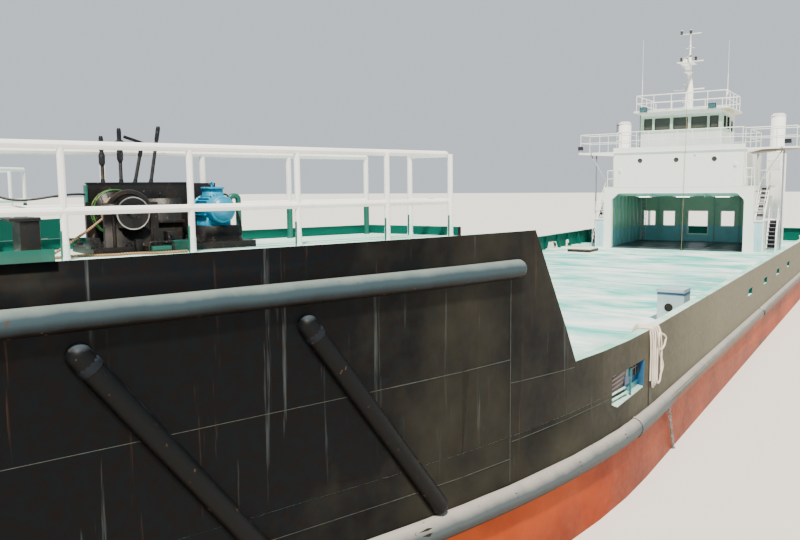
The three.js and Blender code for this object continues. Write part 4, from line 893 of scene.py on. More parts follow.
def greasy(name, colour, grease, oil, gloss=(0.25, 0.6)):
    """Machinery enamel under old grease: glossy black where wiped, brown and matt where oil has
    caught dust, with worn bright specks a few millimetres wide."""
    mat, surface, spot = blank(name)
    film = add(mat, "TexNoise", {"Vector": spot, "Scale": 7, "Detail": 6, "Roughness": 0.6})
    grit = add(mat, "TexNoise", {"Vector": spot, "Scale": 70, "Detail": 3})
    filmed = add(mat, "MapRange", {"Value": film, "From Min": 0.4, "From Max": 0.6})
    dusty = add(mat, "MapRange", {"Value": film, "From Min": 0.56, "From Max": 0.7, "To Max": 0.85})
    speck = add(mat, "MapRange", {"Value": grit, "From Min": 0.68, "From Max": 0.74, "To Max": 0.5})
    paint = coats(mat, colour, (filmed, grease), (dusty, oil), (speck, "#8d8a84"))
    shine = add(mat, "MapRange", {"Value": film, "To Min": gloss[0], "To Max": gloss[1]})
    crust = add(mat, "Bump", {"Height": grit, "Strength": 0.3, "Distance": 0.003})
    feed(surface, Base_Color=paint, Roughness=shine, Normal=crust, Specular_IOR_Level=0.3)
    return mat


winch_black = greasy("greasy_black_machinery_enamel", BLACK, BLACK_GREASE, OIL_BROWN)
lever_black = greasy("handled_black_enamel", "#0a0e17", "#10141c", "#191b20", (0.3, 0.5))
drum_green = greasy("worn_green_brake_rim_enamel", "#3d7a3a", "#1e4a2c", "#9aa84a")
motor_blue = enamel("blue_motor_enamel", "#0b7da4", "#2a9ab6", "#12507d", "blue_paint", patch=0.2, runs=0.35)
bright_steel = greasy("rope_polished_steel", "#a4a7a5", "#6f706d", "#3d332a", (0.2, 0.4))
tarred = laid_rope("oily_tan_rope", "#a98a62", "#6b543a", 0.03)
cable_black = greasy("black_cable_sheath", "#101112", "#1b1c1d", "#3a3530", (0.35, 0.5))


def hoop(axis, centre, radius, bar, steps=48, sides=8):
    """A ring of round bar about an axis."""
    x, y, z = centre
    line = []
    for i in range(steps):
        u, v = radius * cos(2 * pi * i / steps), radius * sin(2 * pi * i / steps)
        line.append({"X": (x, y + u, z + v), "Y": (x + u, y, z + v), "Z": (x + u, y + v, z)}[axis])
    return pipe("hoop", line, bar, sides, closed=True)


def spokes(count, centre, x, half, reach, edge):
    """Thin plates set round a shaft that runs across, from one reach of it to another."""
    made = []
    for i in range(count):
        plate = block("spoke", x, (-half, half), reach, edge)
        plate.rotation_euler = (2 * pi * i / count, 0, 0)
        plate.location = centre
        made.append(applied(plate))
    return made


def winch_bed_parts():
    """Holding-down bolts along the skid, each a hexagon nut on a washer with its stud, ribs on the
    cheeks, bearing caps, gearbox flange and lid, and small blocks on the skid."""
    made = []
    for foot in [(x, y, SKID_TOP) for x in BOLT_X for y in BOLT_Y]:
        made += [turned("washer", foot, "Z", [(0, 0.045), (0.008, 0.045), (0.008, 0.02)], 16),
                 turned("nut", foot, "Z", [(0, 0.034), (0.03, 0.034), (0.036, 0.026)], 6),
                 turned("stud", foot, "Z", [(0, 0.014), (0.056, 0.014), (0.06, 0.01)], 8)]
    for x in (-0.36, 0.33):
        made.append(turned("cap", (x - 0.06, 0, SHAFT_Z), "X", barrel(0.12, 0.1, 0.075, 0.01), 24))
        made.append(block("foot", (x - 0.05, x + 0.05), (-0.16, 0.16), (SHAFT_Z - 0.16, SHAFT_Z - 0.1)))
        for y in (-0.22, 0.2):
            made.append(block("rib", (x - 0.05, x + 0.05), (y, y + 0.03), (0.08, SHAFT_Z - 0.02)))
    made.append(block("gear flange", (-0.45, -0.17), (0.33, 0.83), (0.3, 0.335)))
    stages = [(0, 0.03), (0.02, 0.03), (0.02, 0.018), (0.05, 0.018), (0.05, 0.032), (0.075, 0.026)]
    made.append(turned("breather", (-0.31, 0.58, 0.6), "Z", stages, 16))
    for x, y, wide, high in ((0.3, -0.42, 0.1, 0.12), (0.32, 0.44, 0.07, 0.16), (0.3, 0.72, 0.09, 0.1)):
        made.append(block("lug", (x - wide, x + wide), (y - 0.05, y + 0.05), (0.07, high + 0.07)))
        pin = barrel(2 * wide + 0.04, 0.026, 0.02, 0.01)
        made.append(turned("pin", (x - wide - 0.02, y, high + 0.03), "X", pin, 12))
    return made


def brake_rim():
    """The brake wheel's two green edges, with thin cross ribs over the dark slots between them."""
    edges = [hoop("X", (x, 0, SHAFT_Z), BRAKE_R, 0.009) for x in BRAKE_X]
    return edges + spokes(BRAKE_RIBS, (0, 0, SHAFT_Z), (-0.26, -0.19), 0.004, (0.252, 0.264), 0.002)


def drum_faces():
    """The outer flange's lip and hub, the warping head's cup, and the shaft's end with its nut."""
    lip = [(0, 0.2), (0, 0.258), (0.02, 0.266), (0.04, 0.258), (0.04, 0.215), (0.03, 0.205)]
    hub = [(0, 0.1), (0.012, 0.1), (0.02, 0.085)]
    head = [(0, 0.06), (0.0, 0.12), (0.02, 0.165), (0.03, 0.18), (0.05, 0.18), (0.05, 0.166), (0.045, 0.06)]
    nut = [(0, 0.058), (0.03, 0.058), (0.038, 0.045)]
    rounds = ((0.255, lip, 48), (0.265, hub, 32), (0.37, head, 48), (0.44, nut, 6))
    return [turned("face", (x, 0, SHAFT_Z), "X", stages, sides) for x, stages, sides in rounds]


def wound_rope():
    """Rope lying in one helix of touching turns on the drum's barrel."""
    line = []
    for i in range(TURNS * TURN_STEPS + 1):
        angle = 2 * pi * i / TURN_STEPS
        x = WOUND_FROM + WOUND_LONG * i / (TURNS * TURN_STEPS)
        line.append((x, WOUND_R * cos(angle), SHAFT_Z + WOUND_R * sin(angle)))
    return pipe("wound", line, WOUND_ROPE_R, 8)


def motor_parts():
    """Cooling fins round the frame, end shields, the fan cowl's rim, eye bolt and gland."""
    y, z = MOTOR_Y, MOTOR_Z
    shield = [(0, 0.1), (0.0, 0.15), (0.01, 0.174), (0.05, 0.178), (0.06, 0.165)]
    cowl = [(0, 0.15), (0.0, 0.168), (0.02, 0.172), (0.12, 0.168), (0.14, 0.16), (0.15, 0.145),
            (0.142, 0.13), (0.142, 0.05)]
    gland = [(0, 0.03), (0.03, 0.03), (0.03, 0.022), (0.06, 0.018)]
    return [*spokes(FINS, (0, y, z), (-0.2, 0.12), 0.005, (MOTOR_R - 0.01, MOTOR_R + 0.022), 0.003),
            turned("shield", (-0.305, y, z), "X", shield, 40),
            turned("cowl", (0.13, y, z), "X", cowl, 40),
            block("box lid", (-0.16, 0.1), (y - 0.105, y + 0.105), (0.708, 0.735), 0.01),
            block("box neck", (-0.12, 0.06), (y - 0.08, y + 0.08), (0.61, 0.66), 0.008),
            turned("gland", (-0.02, y + 0.08, 0.645), "Y", gland, 12),
            hoop("Y", (-0.03, y, 0.765), 0.03, 0.009, 16)]


# Hand levers: flat bars in pivots on the stand, with sleeves and rubber grips. The second has
# a round lock hub, and the third a cross handle.
LEVERS = [(-0.05, 0.0, 1.34), (0.165, 0.0, 1.44), (0.31, 0.13, 1.28), (0.51, 0.14, 1.48)]
LEVER_FOOT, SLEEVE_AT, HUB_AT, PANEL_AFT = STAND_TOP - 0.09, 0.47, 0.76, 1.36
GRIP_STAGES = [(0, 0.023), (0.01, 0.027), (0.05, 0.026), (0.14, 0.027), (0.165, 0.024), (0.18, 0.018)]
BOOT_STAGES = [(0, 0.034), (0.03, 0.034), (0.05, 0.026), (0.08, 0.024)]


def lever_parts():
    made = []
    for i, (y, lean, top) in enumerate(LEVERS):
        foot, head = Vector((STAND_X, y, LEVER_FOOT)), Vector((STAND_X, y + lean, top))
        up = (head - foot).normalized()
        made.append(turned("grip", head - up * 0.17, up, GRIP_STAGES, 16))
        made.append(turned("boot", foot + up * 0.06, up, BOOT_STAGES, 16))
        if i < 2:
            sleeve = [(0, 0.026), (0.03, 0.038), (0.12, 0.038), (0.16, 0.026)]
            made.append(turned("sleeve", foot.lerp(head, SLEEVE_AT), up, sleeve, 12))
        if i == 1:
            hub = foot.lerp(head, HUB_AT) - Vector((0.03, 0, 0))
            made.append(turned("hub", hub, "X", [(0, 0.03), (0, 0.052), (0.06, 0.052), (0.07, 0.03)], 24))
        if i == 2:
            cross = [head + Vector((0, -0.22, 0.07)), head, head + Vector((0, 0.05, -0.02))]
            made.append(pipe("cross", rounded(cross, 0.03), 0.02, 10))
    x = STAND_X
    for y in (0.1, 0.4, 0.7):
        rib = block("rib", (x - 0.1, x - 0.02), (y - 0.01, y + 0.01), (0, STAND_TOP - 0.15), 0.003)
        made.append(rib)
    return [*made, block("top edge", (x - 0.04, x + 0.04), (STAND_FORE - 0.01, STAND_AFT + 0.01),
                         (STAND_TOP - 0.006, STAND_TOP + 0.012), 0.004),
            block("side edge", (x - 0.045, x + 0.045), (STAND_AFT - 0.015, STAND_AFT + 0.015),
                  (0, STAND_TOP), 0.004),
            block("side panel", (x - 0.04, x + 0.04), (STAND_AFT, PANEL_AFT), (0, STAND_TOP), 0.004)]


def gooseneck(x, y, foot, top, reach, mouth, bend, r, flange, sides):
    """A vent pipe turned over at the top, reach aft of its foot, on a flange."""
    line = [(x, y, foot), (x, y, top), (x, y + reach, top), (x, y + reach, mouth)]
    return [pipe("neck", rounded(line, bend), r, 16), turned("flange", (x, y, foot), "Z", flange, sides)]


def tank_vent():
    """A green pipe by the motor, turned over under a round cap."""
    foot, mouth = [(0, 0.075), (0.02, 0.075), (0.03, 0.045)], [(0, 0.045), (0.05, 0.05), (0.07, 0.038)]
    return [*gooseneck(0.02, 1.46, 0, 0.62, -0.12, 0.5, 0.06, 0.036, foot, 20),
            turned("mouth", (0.02, 1.34, 0.44), "Z", mouth, 20)]


def guide_box():
    """The rope's guide box ahead of the winch: plated sides under a broad flat flange."""
    return [block("body", (-0.2, 0.2), (-1.12, -0.92), (0, 0.39), 0.01),
            block("flange", (-0.22, 0.22), (-1.22, -0.91), (0.39, 0.425), 0.008),
            block("foot", (-0.22, 0.22), (-1.15, -0.9), (0, 0.02), 0.006)]


def green_blocks():
    """Green plate along the wing's edge ahead of the winch, the stand's forward edge strip, and
    two chocks on the deck beside the skid."""
    return [block("edge", (STATION_IN - 0.004, STATION_IN + 0.006), (-3.6, -0.93), (0.004, 0.128), 0.002),
            block("strip", (STAND_X - 0.05, STAND_X + 0.05), (STAND_FORE - 0.028, STAND_FORE - 0.004),
                  (0, STAND_TOP - 0.02), 0.004),
            block("chock", (0.5, 0.64), (0.12, 0.34), (0.03, 0.085), 0.008),
            block("chock foot", (0.52, 0.62), (0.15, 0.31), (0, 0.035), 0.004),
            block("chock", (0.42, 0.5), (0.42, 0.6), (0.0, 0.13), 0.008)]


def dark_bow():
    """A bent bar over the first chock, and a small pin block beside it."""
    line = rounded([(0.6, 0.1, 0.0), (0.6, 0.1, 0.13), (0.6, 0.37, 0.13), (0.6, 0.37, 0.0)], 0.03)
    return [pipe("bow", line, 0.013, 8), block("pin", (0.38, 0.46), (0.0, 0.08), (0, 0.16), 0.006)]


pair("winch_green_parts", green_blocks(), green_enamel, "hull_body", 30, station)
pair("chock_bow", dark_bow(), winch_black, "hull_body", 30, station)
pair("winch_bed_parts", winch_bed_parts(), winch_black, "hull_body", 30, station)
pair("levers", lever_parts(), lever_black, "hull_body", 30, station)
pair("rope_guide_box", guide_box(), winch_black, "hull_body", 30, station)
pair("motor_parts", motor_parts(), motor_blue, "hull_body", 30, station)
pair("tank_vent", tank_vent(), green_enamel, "hull_body", 40, station)
pair("brake_rim", brake_rim(), drum_green, "winch_drum_{}_body", 30, station)
pair("drum_faces", drum_faces(), winch_black, "winch_drum_{}_body", 30, station)
pair("drum_ring", [hoop("X", (RING_X, 0, SHAFT_Z), RING_R, 0.0075)], bright_steel, "winch_drum_{}_body", 40,
     station)
pair("wound_rope", [wound_rope()], tarred, "winch_drum_{}_body", 40, station)
for name, _ in SIDES:
    dressed(f"winch_bed_{name}", f"winch_bed_shell_{name}", winch_black, 30)
    dressed(f"control_stand_{name}", f"control_stand_shell_{name}", winch_black, 30)
    dressed(f"winch_motor_{name}", f"winch_motor_shell_{name}", motor_blue, 30)
    dressed(f"winch_drum_{name}", f"winch_drum_shell_{name}", winch_black, 30, f"winch_drum_{name}_body")

# Winch cables and rope end. A rubber cable feeds the control stand from a gland on the inner rail
# post, another loops from the motor to the deck, and the drum's rope end lies on the deck.
CABLE, ROPE_END, LAID_STEP = 0.026, 0.03, 0.03
FEED_LINE = [(-0.47, -0.25, 0.66), (-0.47, -0.33, 0.665), (-0.49, -0.46, 0.66), (-0.52, -0.62, 0.64),
             (-0.56, -0.78, 0.615), (-0.61, -0.93, 0.605), (-0.66, -1.06, 0.62), (-0.7, -1.15, 0.65),
             (-0.715, -1.2, 0.68)]
MOTOR_LINE = [(-0.02, 1.285, 0.645), (0.0, 1.32, 0.63), (0.05, 1.36, 0.54), (0.1, 1.4, 0.42),
              (0.12, 1.43, 0.29), (0.12, 1.44, 0.16), (0.11, 1.4, 0.05)]
MOTOR_LINE += [(x, y, 0.0145) for x, y in (
    (0.1, 1.33), (0.1, 1.24), (0.11, 1.17), (0.15, 1.12), (0.22, 1.12), (0.27, 1.18))]
END_LINE = [(0.1, -0.19, 0.42), (0.12, -0.26, 0.38), (0.2, -0.42, 0.28), (0.29, -0.62, 0.17),
            (0.36, -0.78, 0.08), (0.4, -0.89, 0.026)]
END_LINE += [(x, y, 0.0165) for x, y in (
    (0.46, -0.94), (0.53, -0.91), (0.54, -0.82), (0.48, -0.74), (0.42, -0.64), (0.45, -0.54), (0.54, -0.44),
    (0.6, -0.28), (0.56, -0.12), (0.6, 0.02), (0.68, 0.12), (0.69, 0.3), (0.68, 0.5))]
for name, line, thick, mat, far_end, stiffness in (
    ("control_cable", FEED_LINE, CABLE, cable_black, "object", "medium"),
    ("motor_cable", MOTOR_LINE, CABLE, cable_black, "object", "medium"),
    ("drum_rope_end", END_LINE, ROPE_END, tarred, "bare", "limp"),
):
    laid = smooth_line([station(1) @ Vector(p) for p in line], LAID_STEP)
    hung_cord(name, laid, thick, mat, 12, far_end, stiffness)
# A junction box on the inner rail post, a gland on the stand and one in the deck
glands = joined("cable_glands", [
    block("box", (-0.76, -0.67), (-1.27, -1.19), (0.62, 0.78), 0.01),
    turned("gland", (-0.47, -0.2, 0.66), "-Y", [(0, 0.03), (0.03, 0.03), (0.05, 0.018)], 12),
    turned("deck gland", (0.07, 1.48, 0), "Z", [(0, 0.05), (0.015, 0.05), (0.02, 0.03), (0.045, 0.022)], 16),
])
glands.matrix_world = station(1)
place("cable_glands", glands, winch_black)

# Bow ramp. A stiffened plate between the wings, green all over, with hinge eyes at its foot,
# a worn steel nose and a lifting lug each side.
RAMP_HALF, RAMP_TOP, RAMP_Y, RAMP_FACE = 2.15, 7.15, -28.87, 0.1
LUG_X, LUG_Z, GRIP_BARS, GRIP_FROM, GRIP_PITCH = (-1.9, 1.9), RAMP_TOP - 0.5, 9, 3.6, 0.4
dressed("bow_ramp", "ramp_shell", green_enamel, 25, "bow_ramp_body")
made = [block("nose", (-RAMP_HALF, RAMP_HALF), (RAMP_Y - RAMP_FACE, RAMP_Y + RAMP_FACE),
              (RAMP_TOP - 0.05, RAMP_TOP - 0.002), 0.012)]
for x in LUG_X:
    boss = barrel(0.04, 0.11, 0.1, 0.005)
    made.append(turned("lug", (x - 0.02, RAMP_Y + RAMP_FACE, LUG_Z), "X", boss, 24))
    made.append(hoop("X", (x, RAMP_Y + 0.17, LUG_Z), 0.05, 0.014, 16))
for i in range(GRIP_BARS):
    z, y, wide = GRIP_FROM + GRIP_PITCH * i, RAMP_Y - RAMP_FACE, RAMP_HALF - 0.1
    made.append(block("grip", (-wide, wide), (y - 0.012, y + 0.004), (z, z + 0.03), 0.004))
place("ramp_fittings", made, green_enamel, "bow_ramp_body", 25)

# Deckhouse bay. An open hall of white plate, lined inside in teal: grey-green above and bluer
# below its openings, with frames on the walls, beams and lamps overhead and a ladder aft.
HOUSE_FRONT, HOUSE_REAR, HOUSE_HALF, HOUSE_WALL = 17.5, 25.6, 4.4, 0.12
PORTAL, MOUTH_HALF, MOUTH_TOP, BAY_TOP, BEAM_TOP = 0.3, 3.9, 6.88, 6.9, 7.27
TEAL_LOW, TEAL_HIGH, TEAL_LINE = "#86d0dc", "#a3d0b2", 4.55
BAY_INNER, BAY_BACK = HOUSE_HALF - HOUSE_WALL, HOUSE_REAR - HOUSE_WALL
BAY_OPENINGS = [(-3.65, 0.8, 1.1, 2.1), (-2.28, 0.78, 1.1, 2.1), (-0.32, 1.28, 0.55, 2.12),
                (1.62, 0.83, 1.12, 2.12)]
FRAME_Y, FRAME_X = [18.5 + 0.82 * i for i in range(9)], (-4.1, -3.0, -1.5, 0.75, 2.35, 3.1, 3.9)
BEAM_Y, GIRDER_X, LAMP_X = [18.4 + 1.1 * i for i in range(7)], (-1.6, 1.6), (-2.1, 0.2, 2.5)
PLATE_ROWS = ((-4.26, -1.43), (-1.41, 1.41), (1.43, 4.26))
PLATE_FROM, PLATE_PITCH, PLATE_LONG = 17.62, 1.57, 1.55


def bay_paint(name):
    """House enamel: gloss white outside, and teal inside the hall in two bands with a soft
    brushed line between them. Hands and loads have scuffed the lower band."""
    mat, surface, spot = blank(name)
    x, y, z = (add(mat, "SeparateXYZ", [spot], axis) for axis in "XYZ")
    broad = add(mat, "TexNoise", {"Vector": spot, "Scale": 1.6, "Detail": 6, "Roughness": 0.6})
    fine = add(mat, "TexNoise", {"Vector": spot, "Scale": 24, "Detail": 4})
    wide = add(mat, "Math", [x], operation="ABSOLUTE")
    within = add(mat, "Math", [wide, (BAY_INNER + 0.01) * MODEL], operation="LESS_THAN")
    behind = add(mat, "Math", [y, (HOUSE_FRONT + PORTAL - 0.01) * MODEL], operation="GREATER_THAN")
    ahead = add(mat, "Math", [y, (HOUSE_REAR - 0.05) * MODEL], operation="LESS_THAN")
    hall = add(mat, "Math", [within, behind], operation="MULTIPLY")
    hall = add(mat, "Math", [hall, ahead], operation="MULTIPLY")
    rise = add(mat, "Math", [fine, 0.02, z], operation="MULTIPLY_ADD")
    high = add(mat, "Math", [rise, TEAL_LINE * MODEL + 0.01], operation="GREATER_THAN")
    scuffs = add(mat, "MapRange", {"Value": broad, "From Min": 0.5, "From Max": 0.72, "To Max": 0.45})
    lining = coats(mat, TEAL_LOW, (high, TEAL_HIGH), (scuffs, "#6a9c98"))
    run = rain_runs(mat, spot, 10, 0.45, 1.3, 0.6, 0.78, 0.3, 0.5)
    return brushed_out(mat, surface, coats(mat, WHITE, (run, "#b8ab96"), (hall, lining)), fine, (0.28, 0.5))


def bay_frames():
    """Flanged frames up the hall's walls and a shelf rail along them, all of small angle bar."""
    made = []
    tall = (DECK + 0.02, BAY_TOP - 0.1)
    for side in (-1, 1):
        web, flange, shelf, rail = (side * (BAY_INNER - off) for off in (0.09, 0.105, 0.1, 0.15))
        for y in FRAME_Y:
            made.append(block("web", (side * BAY_INNER, web), (y, y + 0.015), tall, 0.003))
            made.append(block("flange", (web, flange), (y - 0.03, y + 0.04), tall, 0.003))
        made.append(block("rail", (shelf, rail), (18.2, BAY_BACK - 0.1), (4.48, 4.54), 0.006))
    for x in FRAME_X:
        made.append(block("web", (x, x + 0.015), (BAY_BACK, BAY_BACK - 0.09), tall, 0.003))
        made.append(block("flange", (x - 0.03, x + 0.04), (BAY_BACK - 0.09, BAY_BACK - 0.105), tall, 0.003))
    return made


def bay_beams():
    made, wide, top = [], (-BAY_INNER, BAY_INNER), BAY_TOP - 0.005
    for y in BEAM_Y:
        made.append(block("beam", wide, (y, y + 0.02), (BAY_TOP - 0.2, top), 0.003))
        made.append(block("foot", wide, (y - 0.05, y + 0.07), (BAY_TOP - 0.215, BAY_TOP - 0.2), 0.003))
    for x in GIRDER_X:
        made.append(block("girder", (x - 0.012, x + 0.012), (17.85, 25.4), (BAY_TOP - 0.28, top), 0.003))
    return made


def border(outer, inner, deep, edge, upright=False):
    """Four bars between an outer and an inner rectangle, lying flat or standing upright."""
    (a, b), (c, d) = outer
    (p, q), (r, s) = inner
    bars = (((a, b), (c, r)), ((a, b), (s, d)), ((a, p), (r, s)), ((q, b), (r, s)))
    return [block("bar", u, deep if upright else v, v if upright else deep, edge) for u, v in bars]


def ladder(left, right, foot, top, rungs, first, pitch, bars=(0.022, 0.014), sides=10):
    """Two upright pipes, each at its place on the plan, with rungs from a first height up."""
    made = [pipe("stile", [(*spot, foot), (*spot, top)], bars[0], sides) for spot in (left, right)]
    for i in range(rungs):
        z = first + pitch * i
        made.append(pipe("rung", [(*left, z), (*right, z)], bars[1], sides - 2))
    return made


def bay_ladder():
    x0, x1, y = -4.2, -3.86, 25.3
    made = ladder((x0, y), (x1, y), DECK + 0.01, BAY_TOP - 0.25, 10, DECK + 0.35, 0.3)
    for x in (x0, x1):
        made.append(block("bracket", (x - 0.015, x + 0.015), (y, BAY_BACK - 0.001), (5.4, 5.44), 0.003))
    return made


def bay_floor():
    """Thin dark plates laid over the hall's deck in rows, with open joints between, as painted shade on the
    hall's floor.
    """
    made = []
    for row in PLATE_ROWS:
        for y in [PLATE_FROM + PLATE_PITCH * i for i in range(5)]:
            made.append(block("plate", row, (y, y + PLATE_LONG), (DECK + 0.001, DECK + 0.009), 0.003))
    return made


hall_paint = bay_paint("two_tone_house_enamel")
dressed("bay_walls", "bay_shell", hall_paint, 25)
# Milky lamp glass, lit from inside, a little uneven in tone
lamp_glass, surface, spot = blank("opal_lamp_glass")
cloud = add(lamp_glass, "TexNoise", {"Vector": spot, "Scale": 30})
tone = coats(lamp_glass, "#f4f5ee", (cloud, "#dfe4dc"))
feed(surface, Base_Color=tone, Roughness=0.2, IOR=1.5, Emission_Color=tone, Emission_Strength=6.0)
frame_teal = enamel("teal_frame_enamel", "#8fc4c0", "#a9d2c4", "#5c7c78", patch=0.8)
# Dark floor plates: painted shade on the hall's floor, with lighter worn patches
bay_floor_shade_paint = enamel("worn_dark_floor_enamel_as_painted_shade", "#24333a", "#4d5a5a", "#15191b", "green_paint", patch=0.5,
                     worn_share=0.7)
place("bay_frames", bay_frames(), frame_teal)
place("bay_beams", bay_beams(), frame_teal)
place("bay_floor_shade_plates", bay_floor(), bay_floor_shade_paint)
place("bay_ladder", bay_ladder(), white_enamel)
for title, half, deep, tall, edge, mat in (
    ("lamp_trays", 0.6, (18.55, 18.75), (BAY_TOP - 0.26, BAY_TOP - 0.2), 0.012, white_enamel),
    ("lamp_tubes", 0.4, (18.58, 18.72), (BAY_TOP - 0.3, BAY_TOP - 0.258), 0.02, lamp_glass),
):
    place(title, [block("lamp", (x - half, x + half), deep, tall, edge) for x in LAMP_X], mat)
made = []
for x, wide, low, high in BAY_OPENINGS:
    a, b, z0, z1 = x - wide / 2, x + wide / 2, DECK + low, DECK + high
    made += border(((a - 0.06, b + 0.06), (z0 - 0.06, z1 + 0.06)), ((a, b), (z0, z1)),
                   (BAY_BACK - 0.02, BAY_BACK), 0.006, upright=True)
place("bay_opening_frames", made, white_enamel)
# A round bar welded round the hall's mouth to stiffen its edge
low, high, bend = DECK + 0.01, MOUTH_TOP - 0.4, MOUTH_HALF - 0.4
arch = [(-MOUTH_HALF, low), (-MOUTH_HALF, high), (-bend, MOUTH_TOP), (bend, MOUTH_TOP), (MOUTH_HALF, high),
        (MOUTH_HALF, low)]
place("mouth_rim", pipe("rim", rounded([(x, HOUSE_FRONT - 0.005, z) for x, z in arch], 0.12), 0.022, 10),
      white_enamel)

# Boat deck, upper storey and bridge deck. White plate on visible beams, with a drip bar at each
# deck's edge. The decks are green on top, and rain has marked the white below every fitting.
DECK_GREEN, DECK_GREEN_WORN = "#6fae9c", "#a9cfc1"
POLE_X, POLE_GREY, SOFFIT_SHADE, SOFFIT_OUT, SOFFIT_Z = 5.62, "#b3b1c0", "#77634f", 3.8, 9.12


def deck_topped(name, dirt="#b9ad97"):
    """White house enamel with a deck-green top, rolled thick and worn along walks, grey poles under
    the bridge wings, and brown painted shade on the undersides out on the wings."""
    mat, surface, spot = blank(name)
    nz = add(mat, "SeparateXYZ", [add(mat, "TexCoord", out="Normal")], "Z")
    broad = add(mat, "TexNoise", {"Vector": spot, "Scale": 1.8, "Detail": 6, "Roughness": 0.6})
    fine = add(mat, "TexNoise", {"Vector": spot, "Scale": 24, "Detail": 4})
    run = rain_runs(mat, spot, 9, 0.4, 1.2, 0.6, 0.8, 0.32)
    worn = add(mat, "MapRange", {"Value": broad, "From Min": 0.45, "From Max": 0.65})
    x, z = (add(mat, "SeparateXYZ", [spot], axis) for axis in "XZ")
    reach = add(mat, "Math", [x], operation="ABSOLUTE")
    by_pole = add(mat, "Math", [reach, POLE_X * MODEL, 0.06 * MODEL], operation="COMPARE")
    # Painted shade: faces that look down, out on the bridge wings and high up, are brown
    under = add(mat, "Math", [nz, -0.4], operation="LESS_THAN")
    outside = add(mat, "Math", [reach, SOFFIT_OUT * MODEL], operation="GREATER_THAN")
    soffit_shade = add(mat, "Math", [under, outside], operation="MULTIPLY")
    high = add(mat, "Math", [z, SOFFIT_Z * MODEL], operation="GREATER_THAN")
    soffit_shade = add(mat, "Math", [soffit_shade, high], operation="MULTIPLY")
    top = add(mat, "Math", [nz, 0.8], operation="GREATER_THAN")
    walk = coats(mat, DECK_GREEN, (worn, DECK_GREEN_WORN))
    paint = coats(mat, WHITE, (run, dirt), (by_pole, POLE_GREY), (soffit_shade, SOFFIT_SHADE), (top, walk))
    return brushed_out(mat, surface, paint, fine, (0.28, 0.55))


house_paint = deck_topped("white_house_enamel_with_green_decks")
for node in ("boat_deck", "upper_walls", "bridge_deck"):
    dressed(node, f"{node}_shell", house_paint, 25)
UPPER_HALF, UPPER_TOP, BRIDGE_FLOOR = 3.77, 9.38, 9.5
PORTHOLES, PORTHOLE_Z, PORTHOLE_R, DRIP_R = (-2.17, 0.0, 2.17), 8.87, 0.15, 0.018
# Float glass seen from outside against a dark room: a smooth dark pane, tinted green, that
# mirrors the sky, with a dust film a little rougher than the glass
window_glass, surface, spot = blank("green_tinted_window_glass")
film = add(window_glass, "TexNoise", {"Vector": spot, "Scale": 3.5, "Detail": 5})
haze = add(window_glass, "MapRange", {"Value": film, "To Min": 0.04, "To Max": 0.16})
tone = coats(window_glass, "#3a4a3c", (film, "#231f18"))
feed(surface, Base_Color=tone, Roughness=haze, IOR=1.52, Coat_Weight=0.5)
rims, panes = [], []
for x in PORTHOLES:
    rims.append(hoop("Y", (x, HOUSE_FRONT - 0.002, PORTHOLE_Z), PORTHOLE_R + 0.015, 0.016, 40, 10))
    stages = [(0, PORTHOLE_R), (0.01, PORTHOLE_R), (0.014, PORTHOLE_R * 0.7), (0.016, 0.02)]
    panes.append(turned("pane", (x, HOUSE_FRONT + 0.03, PORTHOLE_Z), "-Y", stages, 40))
place("porthole_rims", rims, white_enamel)
place("porthole_panes", panes, window_glass, smooth=20)
# Half-round drip bars along the edges of the boat deck and the bridge deck
made = []
for z, half, front, rear in ((BEAM_TOP - 0.02, HOUSE_HALF, HOUSE_FRONT, 27.6),
                             (UPPER_TOP + 0.02, UPPER_HALF + 0.06, HOUSE_FRONT - 0.06, 24.5)):
    made += [pipe("bar", [(-half, y, z), (half, y, z)], DRIP_R, 8) for y in (front, rear)]
place("drip_bars", made, white_enamel)


def house_fittings():
    """Small junction boxes, conduits and lamp brackets on the upper storey's front and sides."""
    made, front = [], HOUSE_FRONT
    for x, z, w, h in ((3.35, 8.55, 0.16, 0.22), (-3.4, 8.3, 0.14, 0.2), (1.1, 9.2, 0.1, 0.1)):
        box = block("box", (x - w / 2, x + w / 2), (front - 0.07, front), (z - h / 2, z + h / 2), 0.012)
        made.append(box)
    for x in (3.35, -3.4):
        made.append(pipe("conduit", [(x, front - 0.02, 8.4), (x, front - 0.02, BEAM_TOP + 0.02)], 0.014, 8))
    for side in (-1, 1):
        x, pad = side * (UPPER_HALF + 0.04), (side * UPPER_HALF, side * (UPPER_HALF + 0.03))
        line = rounded([(x, 18.1, BEAM_TOP), (x, 18.1, 9.2), (x, 20.5, 9.2)], 0.1)
        made.append(pipe("pipe", line, 0.025, 10))
        made.append(block("pad", pad, (20.9, 21.0), (8.3, 8.4), 0.004))
    return made


place("house_fittings", house_fittings(), white_enamel)

# Wheelhouse. Five square windows forward in one pale green band, the glass set in rubber with
# rounded corners, and more at the sides and aft. The doors have a light of the same glass.
WH_FRONT, WH_REAR, WH_HALF, PANE_SILL, PANE_HEAD = 18.3, 22.3, 2.4, 10.72, 11.48
FRONT_PANES = [(-1.94, 0.53), (-1.08, 0.95), (0.0, 0.9), (1.08, 0.95), (1.94, 0.53)]
SIDE_PANES, REAR_PANES = [(18.95, 0.8), (20.0, 0.9)], [(-1.1, 1.1), (1.1, 1.1)]
wheelhouse_paint = enamel("lilac_white_enamel", "#ece8f0", "#dedbe2", "#c9b8a8", patch=1.2, runs=0.25)
band_paint = enamel("pale_green_band_enamel", "#b9d8c0", "#dcebdf", "#8fa890", patch=0.6)
# Sun-greyed black rubber, a little uneven
rubber, surface, spot = blank("black_window_rubber")
grey = add(rubber, "TexNoise", {"Vector": spot, "Scale": 40})
feed(surface, Base_Color=coats(rubber, "#14181a", (grey, "#2d3231")), Roughness=0.6)
dressed("wheelhouse_walls", "wheelhouse_shell", wheelhouse_paint, 25)


